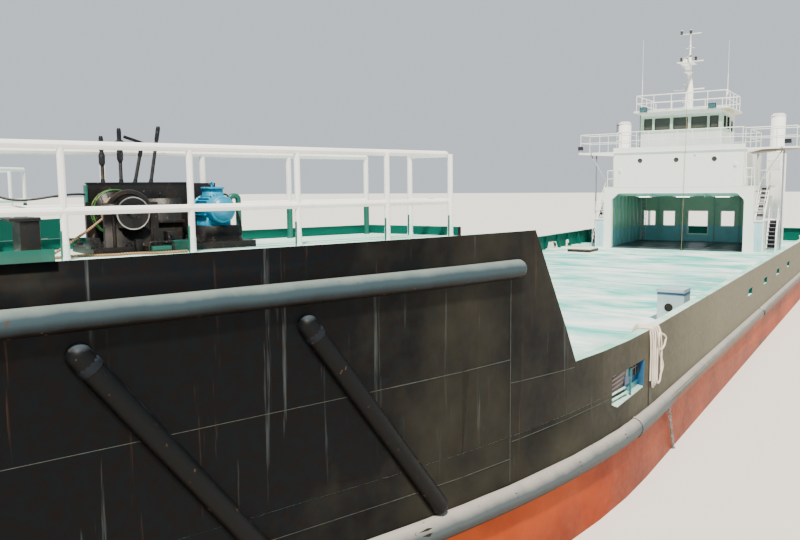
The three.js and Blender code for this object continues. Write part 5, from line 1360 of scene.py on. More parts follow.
def rounded_pane(along, x, w, y, z0, z1, thick, corner=0.09):
    """A pane with round corners, as a plate whose edges through it are bevelled. along is the
    axis that the wall runs on."""
    reach, deep = (x - w / 2, x + w / 2), (y - thick / 2, y + thick / 2)
    spans = (reach, deep, (z0, z1)) if along == "X" else (deep, reach, (z0, z1))
    piece = block("pane", *spans, edge=0)
    only(piece)
    edit("DESELECT")
    leave_edit()
    through = 1 if along == "X" else 0
    for edge in piece.data.edges:
        a, b = (piece.data.vertices[i].co for i in edge.vertices)
        edge.select = abs((b - a).normalized()[through]) > 0.99
    bpy.ops.object.mode_set(mode="EDIT")
    bpy.ops.mesh.bevel(offset=corner, segments=5, affect="EDGES")
    leave_edit()
    return piece


def pane_edge(along, x, w, y, z0, z1, r=0.018, corner=0.09, steps=5):
    """The rubber round a pane: a thin bar that follows its round corners."""
    (left, right), (low, high) = (x - w / 2 + corner, x + w / 2 - corner), (z0 + corner, z1 - corner)
    line = []
    for cx, cz, start in ((right, high, 0), (left, high, 90), (left, low, 180), (right, low, 270)):
        for i in range(steps + 1):
            angle = radians(start + 90 * i / steps)
            u, v = cx + corner * cos(angle), cz + corner * sin(angle)
            line.append((u, y, v) if along == "X" else (y, u, v))
    return pipe("rubber", line, r, 8, closed=True)


panes, rubbers, band = [], [], []
walls = [("X", FRONT_PANES, WH_FRONT, -1), ("X", REAR_PANES, WH_REAR, 1)]
walls += [("Y", SIDE_PANES, side * WH_HALF, side) for side in (-1, 1)]
for axis, row, wall, out in walls:
    for x, w in row:
        wide, tall = w + 0.02, (PANE_SILL - 0.01, PANE_HEAD + 0.01)
        panes.append(rounded_pane(axis, x, wide, wall - out * 0.05, *tall, 0.012))
        rubbers.append(pane_edge(axis, x, w - 0.02, wall + out * 0.002, PANE_SILL + 0.01, PANE_HEAD - 0.01))
        band.append(pane_edge(axis, x, wide, wall + out * 0.001, *tall, 0.03, 0.06))
place("wheelhouse_panes", panes, window_glass, smooth=20)
place("wheelhouse_rubbers", rubbers, rubber)
BAND_HALF, BAND_Y, BAND_AFT = WH_HALF + 0.012, (WH_FRONT - 0.012, WH_FRONT + 0.003), 20.75
BAND_LOW, BAND_HIGH = PANE_SILL - 0.16, PANE_HEAD + 0.13
cuts = [-BAND_HALF, *[x + s * w / 2 for x, w in FRONT_PANES for s in (-1, 1)], BAND_HALF]
for span in zip(cuts[::2], cuts[1::2]):
    band.append(block("mullion", span, BAND_Y, (PANE_SILL, PANE_HEAD), 0.003))
for tall in ((BAND_LOW, PANE_SILL), (PANE_HEAD, BAND_HIGH)):
    band.append(block("band", (-BAND_HALF, BAND_HALF), BAND_Y, tall, 0.003))
    for side in (-1, 1):
        wide = (side * (WH_HALF - 0.003), side * BAND_HALF)
        band.append(block("band", wide, (BAND_Y[0], BAND_AFT), tall, 0.003))
place("window_band", band, band_paint)

# Wheelhouse doors. A light of the same glass in each leaf, and two hinges at its forward edge.
DOOR_FORE, DOOR_AFT, DOOR_LOW, DOOR_HIGH = 20.85, 21.65, 9.62, 11.5
LEAF_CLEAR, LEAF_EDGE, LEAF_THICK, LEAF_FRAME, LEAF_LIGHT = 0.015, 0.03, 0.05, 0.2, 0.65
y0, y1 = DOOR_FORE + LEAF_EDGE + LEAF_FRAME, DOOR_AFT - LEAF_CLEAR - LEAF_FRAME
z1 = DOOR_HIGH - LEAF_CLEAR - LEAF_FRAME
z0 = z1 - LEAF_LIGHT
for name, side in SIDES:
    body = f"wheelhouse_door_{name}_body"
    dressed(f"wheelhouse_door_{name}", f"door_shell_{name}", white_enamel, 25, body)
    x = side * (WH_HALF - LEAF_THICK / 2)
    light = rounded_pane("Y", (y0 + y1) / 2, y1 - y0 + 0.02, x, z0 - 0.01, z1 + 0.01, 0.01, 0.06)
    place(f"door_light_{name}", light, window_glass, body, 20)
    edge = pane_edge("Y", (y0 + y1) / 2, y1 - y0, side * (WH_HALF + 0.001), z0, z1, 0.014, 0.05)
    place(f"door_rubber_{name}", edge, rubber, body)
    hinges = []
    for z in (DOOR_LOW + 0.25, DOOR_HIGH - 0.3):
        hinges.append(turned("knuckle", (x + side * 0.03, DOOR_FORE + 0.03, z), "Z",
                             barrel(0.104, 0.02, 0.014, 0.004), 12))
        hinges.append(block("strap", (side * WH_HALF, side * (WH_HALF + 0.012)),
                            (DOOR_FORE + 0.03, DOOR_FORE + 0.25), (z + 0.03, z + 0.075), 0.003))
    place(f"door_hinges_{name}", hinges, white_enamel, body)

# Wheelhouse roof. A white slab with a visor all round, warm below where the sun comes back off
# the deck, with floodlights forward, whip aerials and a rope down to the deck.
ROOF_HALF, ROOF_FRONT, ROOF_REAR, ROOF_TOP, ROOF_EDGE_Z = 2.76, 17.92, 22.65, 11.93, 11.9
VISOR_WARM_X = 2.35


def visor_paint(name):
    """House white on top and at the edge, and cream on the underside of the visor's port end, painted as
    warm light thrown up off the deck.
    """
    mat, surface, spot = blank(name)
    nz = add(mat, "SeparateXYZ", [add(mat, "TexCoord", out="Normal")], "Z")
    fine = add(mat, "TexNoise", {"Vector": spot, "Scale": 22, "Detail": 4})
    broad = add(mat, "TexNoise", {"Vector": spot, "Scale": 2.2, "Detail": 5})
    stain = add(mat, "MapRange", {"Value": broad, "From Min": 0.55, "From Max": 0.75, "To Max": 0.35})
    x = add(mat, "SeparateXYZ", [spot], "X")
    # Painted light: downward faces past VISOR_WARM_X take a warm cream, as if lit from the deck below
    lit_end = add(mat, "Math", [x, VISOR_WARM_X * MODEL], operation="GREATER_THAN")
    under = add(mat, "Math", [nz, -0.5], operation="LESS_THAN")
    under = add(mat, "Math", [under, lit_end], operation="MULTIPLY")
    below = coats(mat, "#e6cfa8", (stain, "#a98a5e"))
    return brushed_out(mat, surface, coats(mat, WHITE, (stain, "#c4bcae"), (under, below)), fine, (0.3, 0.5))


dressed("wheelhouse_roof", "roof_shell", visor_paint("white_enamel_with_painted_bounce_underside"), 25)
side, fore, aft = ROOF_HALF - 0.005, ROOF_FRONT + 0.005, ROOF_REAR - 0.005
edge = [(0, fore), (-side, fore), (-side, aft), (side, aft), (side, fore), (0.001, fore)]
edge = rounded([(*spot, ROOF_EDGE_Z) for spot in edge], 0.06)
place("roof_edge_bar", pipe("bar", edge, 0.02, 10), white_enamel)
lamp_black = enamel("black_lamp_enamel", "#1a1f22", "#2e3436", "#0d0f10", "black_paint", patch=0.2)
# Teal lamp glass, ribbed inside, under a smooth clear face
lens_teal, surface, spot = blank("ribbed_teal_lens_glass")
ribs = add(lens_teal, "TexWave", {"Vector": spot, "Scale": 40, "Distortion": 0.4}, "Color")
feed(surface, Base_Color=coats(lens_teal, "#123f46", (ribs, "#3b7c82")), Roughness=0.12, IOR=1.5,
     Coat_Weight=0.6)


def floodlight(name, x, y, z, w, h, lens):
    """A box floodlight that looks forward, on a stirrup bracket: housing, rim, fins and lens."""
    half, tall, upright = w / 2, h / 2, (z - h / 2, z + h / 2)
    small, fins = ((z - tall * k, z + tall * k) for k in (0.6, 0.7))
    made = [block("housing", (x - half, x + half), (y, y + 0.12), upright, 0.02),
            block("back", (x - half * 0.6, x + half * 0.6), (y + 0.11, y + 0.18), small, 0.015),
            block("stirrup foot", (x - half - 0.02, x + half + 0.02), (y + 0.04, y + 0.08),
                  (z - tall - 0.07, z - tall - 0.055), 0.002)]
    for i in range(5):
        u = x - half * 0.5 + half * 0.25 * i
        made.append(block("fin", (u - 0.005, u + 0.005), (y + 0.12, y + 0.2), fins, 0.002))
    for side in (-1, 1):
        rim_z = (z + side * (tall - 0.015), z + side * (tall + 0.012))
        made.append(block("rim", (x - half - 0.01, x + half + 0.01), (y - 0.015, y + 0.02), rim_z, 0.004))
        rim_x = (x + side * (half - 0.015), x + side * (half + 0.01))
        made.append(block("rim", rim_x, (y - 0.015, y + 0.02), upright, 0.004))
        arm = (x + side * (half + 0.012), x + side * (half + 0.02))
        made.append(block("stirrup", arm, (y + 0.04, y + 0.08), (z - tall - 0.06, z + 0.02), 0.002))
    place(name, made, lamp_black)
    place(f"{name}_lens", block("lens", (x - half + 0.012, x + half - 0.012), (y - 0.004, y + 0.004),
                                (z - tall + 0.012, z + tall - 0.012), 0.003), lens)


floodlight("roof_floodlight_starboard", -2.1, 17.72, 12.0, 0.42, 0.26, lens_teal)
floodlight("roof_floodlight_port", 1.9, 17.72, 12.0, 0.42, 0.26, lens_teal)
floodlight("wing_floodlight_starboard", -6.37, 18.5, 9.8, 0.3, 0.22, lamp_black)
floodlight("wing_floodlight_port", 5.92, 18.5, 9.8, 0.34, 0.22, lamp_black)
# Whip aerials: a base clamped to the roof rail, a stout lower part and a thin top
AERIAL_Y, AERIAL_FOOT = 18.12, ROOF_TOP + 0.96
CLAMP_STAGES = [(0, 0.03), (0.02, 0.045), (0.26, 0.045), (0.34, 0.022)]
for name, x, head in (("starboard", -2.3, 16.3), ("port", 2.66, 15.7)):
    y, foot = AERIAL_Y, AERIAL_FOOT
    whip = pipe("whip", [(x, y, foot), (x, y, foot + 0.9), (x, y, foot + 0.92), (x, y, head)], 0.022, 10,
                shares=[1, 0.9, 0.5, 0.28])
    clamp = turned("clamp", (x, y, foot - 0.3), "Z", CLAMP_STAGES, 16)
    arm = block("arm", (x - 0.03, x + 0.03), (y - 0.07, y), (foot - 0.09, foot - 0.03), 0.004)
    place(f"whip_aerial_{name}", [whip, clamp, arm], white_enamel)

# Mast. A stout white column that tapers to a pole, with yards, ridged lanterns in dark enamel,
# clips and a cable up its back, and a radar scanner on the forward platform.
MAST_Y, SCANNER_AT, SCANNER_TURN, FERRULE = 20.3, (0, 19.45, 15.05), -0.99, barrel(0.04, 0.046, 0.03, 0.003)
LANTERNS = [(-0.52, 15.06), (0.34, 15.06), (-0.55, 16.71), (0, 16.71)]
LANTERN_STAGES = [(0, 0.05), (0.01, 0.085), (0.035, 0.085), (0.04, 0.074), (0.07, 0.077), (0.08, 0.072),
                  (0.1, 0.077), (0.11, 0.072), (0.13, 0.077), (0.14, 0.072), (0.16, 0.077), (0.165, 0.09),
                  (0.2, 0.09), (0.235, 0.074), (0.262, 0.04)]
dressed("mast", "mast_shell", white_enamel, 30)
dressed("radar_scanner", "radar_scanner_shell", white_enamel, 30, "radar_scanner_body")
lanterns = [turned("lantern", (x, MAST_Y, z), "Z", LANTERN_STAGES, 20) for x, z in LANTERNS]
place("mast_lanterns", lanterns, lamp_black)


def mast_fittings():
    y = MAST_Y
    cable = [(0.06, y + 0.27, ROOF_TOP), (0.06, y + 0.26, 13.25), (0.04, y + 0.13, 14.3),
             (0.03, y + 0.09, 15.4)]
    horn = [(0, 19.2, 14.87), (0, 19.5, 14.78), (0, 19.85, 14.52), (0, 20.2, 14.22)]
    made = [pipe("cable", cable, 0.016, 8), pipe("horn", horn, 0.2, 16, shares=[1, 1, 0.75, 0.45]),
            pipe("bar", [(-0.28, y, 15.86), (0.28, y, 15.86)], 0.014, 8),
            turned("knob", (0, y, 15.9), "Z", barrel(0.09, 0.075, 0.05, 0.02), 14),
            turned("finial", (0, y, 16.79), "Z", [(0, 0.045), (0.004, 0.055), (0.012, 0.03)], 14)]
    for z in [12.1 + 0.25 * i for i in range(5)]:
        made.append(block("clip", (0.03, 0.09), (y + 0.24, y + 0.29), (z, z + 0.03), 0.003))
    for z in [12.25 + 0.28 * i for i in range(6)]:
        r = 0.26 if z < 13.27 else 0.25 - 0.13 * (z - 13.27)
        root, out = -r + 0.01, -r - 0.12
        step = [(root, y - 0.08, z), (out, y - 0.08, z), (out, y + 0.08, z), (root, y + 0.08, z)]
        made.append(pipe("step", rounded(step, 0.03), 0.011, 8))
    for x in (-0.36, 0.36):
        made.append(pipe("stay", [(x, y - 1.1, 14.82), (x * 0.2, y - 0.1, 14.35)], 0.014, 8))
    for z, half in ((13.32, 0.9), (15.03, 0.8), (16.72, 0.62)):
        made += [turned("ferrule", (x - 0.02, y, z), "X", FERRULE, 14) for x in (-half + 0.03, half - 0.03)]
    return made


place("mast_fittings", mast_fittings(), white_enamel)
ends = ((-0.602, -0.585), (0.585, 0.602))
caps = [block("cap", span, (-0.062, 0.062), (0.058, 0.162), 0.004) for span in ends]
trim = joined("scanner_trim", [
    *caps, block("seam", (-0.59, 0.59), (-0.063, 0.063), (0.1, 0.112), 0.003),
    turned("boss", (0, 0, 0.0), "Z", [(0, 0.075), (0.01, 0.082), (0.04, 0.082), (0.058, 0.072)], 24)])
trim.matrix_world = Matrix.Translation(SCANNER_AT) @ Matrix.Rotation(SCANNER_TURN, 4, "Z")
place("scanner_trim", trim, lamp_black, "radar_scanner_body")

# Signal halyard. Sisal line, made fast at the mast's yard, over the roof's edge and down the
# house's front to an eye on a pad in the cargo deck.
HALYARD, EYE_AT = 0.022, (0.48, 17.4, 3.45)
HALYARD_LINE = [Vector(p) for p in (
    (0.03, 20.04, 14.2), (0.43, 17.89, 11.97), (0.43, 17.86, 11.9), (0.53, 17.54, 10.69), (0.54, 17.4, 9.66),
    (0.48, 17.4, 3.46))]
rope_tan = laid_rope("weathered_sisal_rope", "#b99b72", "#6e5336", HALYARD)
hung_cord("signal_halyard", HALYARD_LINE, HALYARD, rope_tan, 8, "object", "limp")
place("halyard_eye", [hoop("Y", EYE_AT, 0.035, 0.01, 16),
                      block("pad", (0.41, 0.55), (17.34, 17.46), (DECK, DECK + 0.016), 0.004)], green_enamel)

# Funnels. White round stacks on square casings, with a rolled band round the top, a vent louvre
# on each casing, and a black ladder up the outboard side of the starboard one.
FUNNEL_X, FUNNEL_Y, FUNNEL_R, CASING_TOP = 4.8206, 23.0, 0.42, 9.3
SOOT_FROM, SOOT_TO, BAND_R, LOUVRE_Y = 11.4, 11.8, FUNNEL_R - 0.004, (21.888, 21.902)
# White enamel that soot has greyed towards the top, above the rain runs
soot, surface, spot = blank("sooted_white_enamel")
cloud = add(soot, "TexNoise", {"Vector": spot, "Scale": 3, "Detail": 6, "Roughness": 0.6})
high = add(soot, "MapRange", {"Value": add(soot, "SeparateXYZ", [spot], "Z"), "From Min": SOOT_FROM * MODEL,
                              "From Max": SOOT_TO * MODEL, "To Max": 0.7})
share = add(soot, "Math", [high, cloud], operation="MULTIPLY")
run = rain_runs(soot, spot, 10, 0.45, 1.3, 0.58, 0.78, 0.3, 0.5)
skin = add(soot, "Bump", {"Height": cloud, "Strength": 0.12, "Distance": 0.002})
paint = coats(soot, WHITE, (run, "#b8ab94"), (share, "#3a3733"))
feed(surface, Base_Color=paint, Roughness=0.42, Normal=skin, IOR=1.5)
for name, side in SIDES:
    dressed(f"funnel_{name}", f"funnel_shell_{name}", soot, 30)
    x, wall = side * FUNNEL_X, side * (FUNNEL_X + FUNNEL_R)
    made = [hoop("Z", (x, FUNNEL_Y, z), BAND_R, 0.018) for z in (9.36, 11.58)]
    for z in [8.3 + 0.07 * i for i in range(7)]:
        made.append(block("slat", (x - 0.3, x + 0.3), LOUVRE_Y, (z, z + 0.045), 0.003))
    for wide, tall in (((x - 0.34, x - 0.3), (8.24, 8.84)), ((x + 0.3, x + 0.34), (8.24, 8.84)),
                       ((x - 0.34, x + 0.34), (8.8, 8.84)), ((x - 0.34, x + 0.34), (8.24, 8.28))):
        made.append(block("frame", wide, (21.882, 21.903), tall, 0.003))
    for y in (22.0, 23.8):
        tall = (DECK + 0.1, CASING_TOP - 0.05)
        made.append(block("stiffener", (wall, wall + side * 0.03), (y, y + 0.02), tall, 0.003))
    place(f"funnel_fittings_{name}", made, white_enamel)
x = -(FUNNEL_X + FUNNEL_R + 0.1)
made = ladder((x, 22.86), (x, 23.14), CASING_TOP - 0.3, 11.64, 9, 9.2, 0.27)
for z in (9.1, 10.3, 11.5):
    for y in (22.86, 23.14):
        made.append(block("bracket", (x, x + 0.14), (y - 0.012, y + 0.012), (z - 0.02, z + 0.02), 0.002))
place("funnel_ladder", made, lamp_black)
made = [pipe("trunk", [(-2.45, 18.4, BRIDGE_FLOOR + 0.01), (-2.45, 18.4, 11.72)], 0.03, 10)]
for z in [9.75 + 0.22 * i for i in range(9)]:
    made.append(block("clip", (-2.49, -2.4), (18.355, 18.44), (z, z + 0.04), 0.004))
place("cable_trunk", made, lamp_black)

# Stairs and lockers beside the house. White stringers and rails, dark non-slip treads with a
# worn steel nosing, a mint plinth below the first step, and pale blue locker doors in a frame.
LANDING, STAIR_STEPS, STRINGER = 5.27, 8, 0.062
LOWER_X, LOWER_Y, UPPER_X, UPPER_Y = (4.98, 5.52), (18.4, 19.4), (4.43, 4.93), (17.75, 19.8594)
FLIGHTS = [(LOWER_X, LOWER_Y, DECK, LANDING, 0.19), (UPPER_X, UPPER_Y, LANDING - 0.01, BEAM_TOP, 0.12)]
LOCKER_X, LOCKER_Y, LOCKER_TOP, LOCKER_MIDDLE = (4.4006, 4.96), 17.58, 5.2094, 4.6803
DOOR_X, LOUVRES, LOUVRE_PITCH = (LOCKER_X[0] + 0.066, LOCKER_X[1] - 0.066), 4, 0.06
tread_paint_and_riser_shade = greasy("non_slip_tread_paint_and_riser_shade", "#262430", "#3a3744", "#17161c", (0.55, 0.8))
nosing_grey, locker_blue, blue_grey_paint = (
    enamel(name, *tones, "blue_grey_paint", patch=patch)
    for name, tones, patch in (("worn_nosing_enamel", ("#a9a6aa", "#8a878a", "#5b5552"), 0.1),
                               ("pale_blue_locker_enamel", ("#a9d5e2", "#c2e0e6", "#7d98a0"), 0.7),
                               ("blue_grey_deck_enamel", ("#9fb4bd", "#bccbd0", "#6c7a80"), 0.4)))


def steps():
    """The treads of both flights, their nosings, and dark plates between them as painted shade in
    the open risers, whole on the lower flight and half as high on the upper one."""
    made, edges, riser_shade_backs = [], [], []
    for (x0, x1), (y0, y1), z0, z1, high in FLIGHTS:
        wide = (x0 + STRINGER, x1 - STRINGER)
        for i in range(1, STAIR_STEPS):
            y, z = y0 + (y1 - y0) * i / STAIR_STEPS, z0 + (z1 - z0) * i / STAIR_STEPS
            made.append(block("tread", wide, (y - 0.111, y + 0.111), (z - 0.041, z + 0.003), 0.003))
            edges.append(block("nosing", wide, (y - 0.116, y - 0.085), (z - 0.016, z + 0.006), 0.004))
            riser_shade_backs.append(block("back", wide, (y + 0.1, y + 0.108), (z, z + high), 0.002))
    return made, edges, riser_shade_backs


def plinth():
    wide, y = (LOWER_X[0] + 0.063, LOWER_X[1] - 0.063), LOWER_Y[0]
    return [block("plinth", wide, (y + 0.03, y + 0.3), (DECK, DECK + 0.16), 0.01),
            block("lip", wide, (y + 0.02, y + 0.05), (DECK + 0.14, DECK + 0.165), 0.004)]


def locker_front():
    """Two doors with louvres, set back in the frame."""
    made, y, z1 = [], LOCKER_Y, LOCKER_TOP - 0.07
    for a, b in ((DOOR_X[0], LOCKER_MIDDLE - 0.004), (LOCKER_MIDDLE + 0.004, DOOR_X[1])):
        made.append(block("door", (a, b), (y + 0.008, y + 0.029), (DECK + 0.07, z1), 0.006))
        for z in [z1 - 0.35 + LOUVRE_PITCH * i for i in range(LOUVRES)]:
            made.append(block("louvre", (a + 0.04, b - 0.04), (y + 0.002, y + 0.01), (z, z + 0.025), 0.003))
    return made


def locker_trim():
    """A hasp and a bent pull, hinge knuckles, and a drip over the doors."""
    middle, y = LOCKER_MIDDLE, LOCKER_Y
    pull = rounded([(middle + 0.03, y + 0.008, 4.05), (middle + 0.03, y - 0.03, 4.05),
                    (middle + 0.03, y - 0.03, 4.2), (middle + 0.03, y + 0.008, 4.2)], 0.02)
    made = [block("hasp", (middle - 0.05, middle + 0.05), (y - 0.006, y + 0.008), (4.3, 4.34), 0.004),
            pipe("pull", pull, 0.008, 8),
            block("drip", LOCKER_X, (y - 0.025, y + 0.01), (LOCKER_TOP - 0.035, LOCKER_TOP - 0.02), 0.004)]
    knuckle = barrel(0.103, 0.013, 0.008, 0.003)
    made += [turned("knuckle", (x, y + 0.006, z), "Z", knuckle, 12) for z in (3.75, 4.85) for x in DOOR_X]
    return made


for name, _ in SIDES:
    dressed(f"stairs_{name}", f"stairs_shell_{name}", white_enamel, 30)
    dressed(f"locker_{name}", f"locker_shell_{name}", white_enamel, 30)
made, edges, riser_shade_backs = steps()
pair("stair_treads", made, tread_paint_and_riser_shade)
pair("stair_nosings", edges, nosing_grey)
# Dark plates in the open risers: painted shade between the treads
pair("stair_riser_shades", riser_shade_backs, tread_paint_and_riser_shade)
pair("stair_plinth", plinth(), blue_grey_paint)
pair("locker_doors", locker_front(), locker_blue)
pair("locker_trim", locker_trim(), white_enamel)

# Rails of the upper decks. White pipe rails, bent at the corners, on thinner posts with a flange
# at each foot, for the boat deck, the bridge and the roof, and a ladder up to the bridge.
RAIL_R, RAIL_MID_R, RAIL_POST_R, RAIL_BEND, LIFT = 0.03, 0.024, 0.024, 0.09, 0.0006
FLANGE_STAGES = [(0, 0.05), (0.01, 0.05), (0.014, 0.028), (0.03, 0.025)]


def pipe_railing(name, node, corners, posts, foot, height, mid):
    made = []
    for rise, r in ((height, RAIL_R), (mid, RAIL_MID_R)):
        line = [(*spot, foot + rise) for spot in corners]
        made.append(pipe("rail", rounded(line, RAIL_BEND, 4), r, 12))
    for spot in posts:
        made.append(pipe("post", [(*spot, foot), (*spot, foot + height)], RAIL_POST_R, 10))
        made.append(turned("flange", (*spot, foot), "Z", FLANGE_STAGES, 12))
    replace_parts(place(name, made, white_enamel), node)


def mirrored(spots):
    return [(-x, y) for x, y in spots]


side, aft, up = 4.3, 27.5, BEAM_TOP + LIFT
half = [(side, 24.1), (side, 25.8), (side, aft), (2.15, aft)]
pipe_railing("boat_railing_aft", "boat_rail_aft", [(side, 24.1), (side, aft), (-side, aft), (-side, 24.1)],
             [*half, (0, aft), *mirrored(half)], up, 1.02, 0.5)
for name, s in SIDES:
    corners = [(s * 3.82, 17.6), (s * 4.22, 17.6), (s * 4.22, 19.6)]
    stand = [*corners, (s * 4.22, 18.6)]
    pipe_railing(f"boat_railing_{name}", f"boat_rail_{name}", corners, stand, up, 1.02, 0.5)
half = [(0.42, 24.4), (3.67, 24.4), (3.67, 20.3), (6.37, 20.3), (6.37, 18.55), (3.67, 18.55), (3.67, 17.6)]
stand = [*half, (2, 24.4), (3.67, 22.4), (5.1, 20.3), (5.1, 18.55), (2.45, 17.6), (1.72, 17.6), (0.87, 17.6)]
pipe_railing("bridge_railing", "bridge_rail", [*half, *mirrored(half[::-1])],
             [*stand, *mirrored(stand), (0, 17.6)], BRIDGE_FLOOR + LIFT, 1.16, 0.62)
side, fore, aft = 2.62, 18.06, 22.51
ring = [(0, fore), (side, fore), (side, aft), (-side, aft), (-side, fore), (0, fore)]
stand = [(s * side, fore + (aft - fore) * i / 4) for s in (-1, 1) for i in range(5)]
stand += [(side * k, y) for k in (-0.6, -0.2, 0.2, 0.6) for y in (fore, aft)]
pipe_railing("roof_railing", "roof_rail", ring, stand, ROOF_TOP + LIFT, 0.95, 0.48)
LADDER_X, LADDER_Y = (-0.22, 0.22), 24.66
left, right = ((x, LADDER_Y) for x in LADDER_X)
made = ladder(left, right, BEAM_TOP + 0.001, 10.45, 10, BEAM_TOP + 0.28, 0.28, (0.025, 0.015), 12)
for x in LADDER_X:
    made.append(block("rest", (x - 0.02, x + 0.02), (24.502, LADDER_Y), (9.4, 9.48), 0.004))
    made.append(turned("shoe", (x, LADDER_Y, BEAM_TOP), "Z", [(0, 0.05), (0.012, 0.05), (0.018, 0.03)], 12))
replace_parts(place("bridge_ladder_pipes", made, white_enamel), "bridge_ladder")

# Deck hatch and vent. A cream lid on a black coaming with dog handles, and a blue-grey vent
# trunk with a dark band below its tilted lid and a round grille forward.
HATCH_X, HATCH_Y, LID_FOOT, LID_TOP, GASKET_TOP = (-5.25, -3.85), (13.45, 14.95), 3.5206, 3.5906, 3.512
VENT_X, VENT_Y, VENT_HALF, BAND_Z = 6.0, -7.4, 0.38, (4.19, 4.25)
cream_lid = enamel("cream_hatch_enamel", "#e9e5d2", "#cfcab4", "#8d856c", patch=0.4)
hatch_brown = enamel("tar_brown_hatch_edge", "#3f3424", "#5c4d35", "#1f1a12", "black_paint", patch=0.3)
navy = enamel("navy_band_enamel", "#3f587f", "#5d7699", "#26364a", "blue_paint", patch=0.3)
dressed("deck_hatch_lid", "hatch_lid_shell", cream_lid, 25, "deck_hatch_body")
(x0, x1), (y0, y1) = HATCH_X, HATCH_Y
made = border(((x0 + 0.002, x1 - 0.002), (y0 + 0.002, y1 - 0.002)),
              ((x0 + 0.032, x1 - 0.032), (y0 + 0.03, y1 - 0.03)), (LID_TOP - 0.004, LID_TOP + 0.012), 0.004)
for x in (x0 + 0.35, x1 - 0.35):
    low, high, y = LID_TOP - 0.01, LID_TOP + 0.06, 13.62
    handle = rounded([(x - 0.1, y, low), (x - 0.1, y, high), (x + 0.1, y, high), (x + 0.1, y, low)], 0.03)
    made.append(pipe("handle", handle, 0.012, 8))
place("hatch_lid_trim", made, cream_lid, "deck_hatch_body")
tall = (LID_FOOT + 0.002, LID_TOP - 0.012)
made = [block("edge", (x0 - 0.004, x1 + 0.004), (y, y + 0.003), tall, 0) for y in (y0 - 0.004, y1 + 0.001)]
made += [block("edge", (x, x + 0.003), HATCH_Y, tall, 0) for x in (x0 - 0.004, x1 + 0.001)]
place("hatch_lid_edge", made, hatch_brown, "deck_hatch_body")
tall, knuckle = (DECK + 0.01, GASKET_TOP), barrel(0.16, 0.018, 0.01, 0.004)
made = [turned("knuckle", (x - 0.08, y1 + 0.012, 3.52), "X", knuckle, 12) for x in (x0 + 0.3, x1 - 0.3)]
for y in (y0 + 0.004, y1 - 0.004):
    made.append(block("gasket", (-4.55 - 0.69, -4.55 + 0.69), (y - 0.006, y + 0.006), tall, 0.002))
for x in (x0 + 0.004, x1 - 0.004):
    made.append(block("gasket", (x - 0.006, x + 0.006), (y0 + 0.012, y1 - 0.012), tall, 0.002))
place("hatch_coaming_trim", made, winch_black)

dressed("vent_trunk", "vent_trunk_shell", blue_grey_paint, 25)
dressed("vent_lid", "vent_lid_shell", blue_grey_paint, 25, "vent_lid_body")
x, y, half = VENT_X, VENT_Y, VENT_HALF
inner = ((x - half, x + half), (y - half, y + half))
outer = [(low - 0.008, high + 0.008) for low, high in inner]
place("vent_band", border(outer, inner, BAND_Z, 0.003), navy)
front = y - half
made = [block("slat", (x - 0.15, x + 0.05), (front - 0.012, front - 0.004), (z, z + 0.015), 0.002)
        for z in [3.75 + 0.045 * i for i in range(4)]]
grille = [(0, 0.12), (0.012, 0.12), (0.016, 0.1), (0.008, 0.095), (0.008, 0.02)]
made.append(turned("grille", (x - 0.05, front + 0.002, 3.82), "-Y", grille, 28))
place("vent_grille", made, winch_black)
wide, tall = (x - half - 0.05, x + half + 0.05), (DECK, DECK + 0.012)
made = [block("foot", wide, (y + s * half, y + s * (half + 0.05)), tall, 0.003) for s in (-1, 1)]
place("vent_foot", made, blue_grey_paint)

# Small deck gear by the starboard bulwark: a white roller stand with a dark sheave, and a cream
# gooseneck vent.
PIN_X, PIN_Z, CHEEKS, CHEEK_TOP, CHEEK_TAPER = -6.6, DECK + 0.32, (14.21, 14.71), DECK + 0.5, 0.55
made = []
for y in CHEEKS:
    cheek = block("cheek", (-6.85, -6.35), (y - 0.02, y + 0.02), (DECK, CHEEK_TOP), 0)
    for vertex in cheek.data.vertices:
        if vertex.co.z > CHEEK_TOP - 0.05:
            vertex.co.x = -6.66 + (vertex.co.x + 6.66) * CHEEK_TAPER
    made.append(cheek)
made += [block("base", (-6.92, -6.28), (14.14, 14.78), (DECK, DECK + 0.08), 0.006),
         pipe("pin", [(PIN_X, 14.16, PIN_Z), (PIN_X, 14.76, PIN_Z)], 0.035, 12)]
place("roller_stand", made, scuffed_white)
stages = [(0, 0.06), (0.01, 0.15), (0.06, 0.16), (0.1, 0.11), (0.34, 0.11), (0.38, 0.16), (0.43, 0.15),
          (0.44, 0.06)]
place("roller_sheave", turned("sheave", (PIN_X, 14.24, PIN_Z), "Y", stages, 28), winch_black)
flange = [(0, 0.11), (0.014, 0.11), (0.02, 0.065), (0.04, 0.062)]
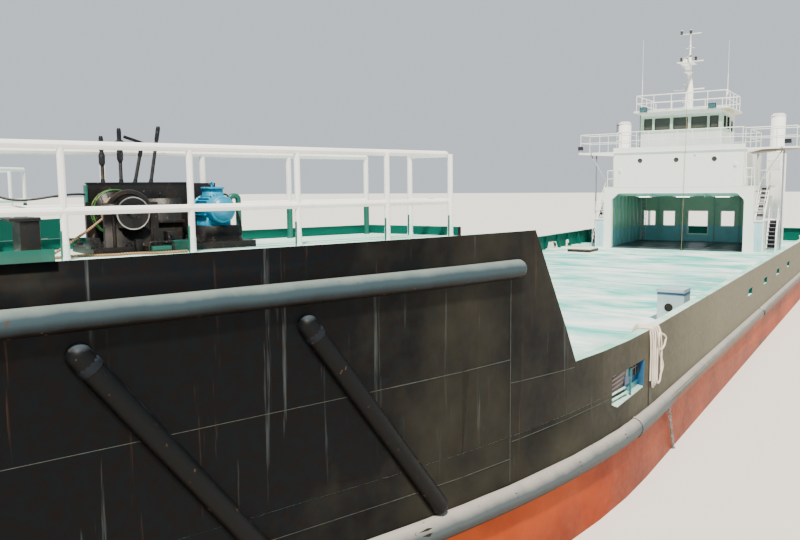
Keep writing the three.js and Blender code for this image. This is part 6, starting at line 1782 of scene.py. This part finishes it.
place("gooseneck_vent", gooseneck(-6.62, 16.9, DECK, DECK + 0.42, 0.22, DECK + 0.26, 0.1, 0.06, flange, 20),
      cream_lid)

# Propellers and rudders, under the raked stern. Dull bronze with a sea film and polished blade
# edges, and rudders in the hull's red with zinc anodes.
SHAFT_X, NUT_Y, PROPELLER_Z = 3, 26.415, 0.85
ANODE_Y, ANODE_Z, RUDDER_SKIN = (27.35, 27.65), (0.55, 1.15), 0.066
bronze, surface, spot = blank("sea_worn_bronze")
film = add(bronze, "TexNoise", {"Vector": spot, "Scale": 9, "Detail": 6, "Roughness": 0.6})
growth = add(bronze, "MapRange", {"Value": film, "From Min": 0.42, "From Max": 0.66, "To Max": 0.75})
bright = add(bronze, "MapRange", {"Value": growth, "From Max": 0.75, "To Min": 1.0, "To Max": 0.25})
dull = add(bronze, "MapRange", {"Value": film, "To Min": 0.28, "To Max": 0.6})
skin = add(bronze, "Bump", {"Height": film, "Strength": 0.2, "Distance": 0.002})
tone = coats(bronze, "#a8793d", (growth, "#5d6a4b"))
feed(surface, Base_Color=tone, Metallic=bright, Roughness=dull, Normal=skin)
rudder_paint = enamel("antifouling_red", RED_TOP, RED_DEEP, "#3f3b30", "hull_paint", (0.6, 0.85), 0.6)
anode_zinc = galvanised("corroded_zinc_anode", "#a9aba6")
nut = [(0, 0.083), (0.02, 0.09), (0.07, 0.09), (0.09, 0.06), (0.14, 0.03)]
for name, side in SIDES:
    screw, rudder = f"propeller_{name}_body", f"rudder_{name}_body"
    dressed(f"propeller_{name}", f"propeller_shell_{name}", bronze, 35, screw)
    boss = turned("nut", (side * SHAFT_X, NUT_Y, PROPELLER_Z), "Y", nut, 6)
    place(f"propeller_nut_{name}", boss, bronze, screw)
    dressed(f"rudder_{name}", f"rudder_shell_{name}", rudder_paint, 25, rudder)
    faces = [(side * SHAFT_X + s * RUDDER_SKIN, s) for s in (-1, 1)]
    anodes = [block("anode", (x, x + s * 0.03), ANODE_Y, (z, z + 0.09), 0.01)
              for z in ANODE_Z for x, s in faces]
    place(f"rudder_anodes_{name}", anodes, anode_zinc, rudder)
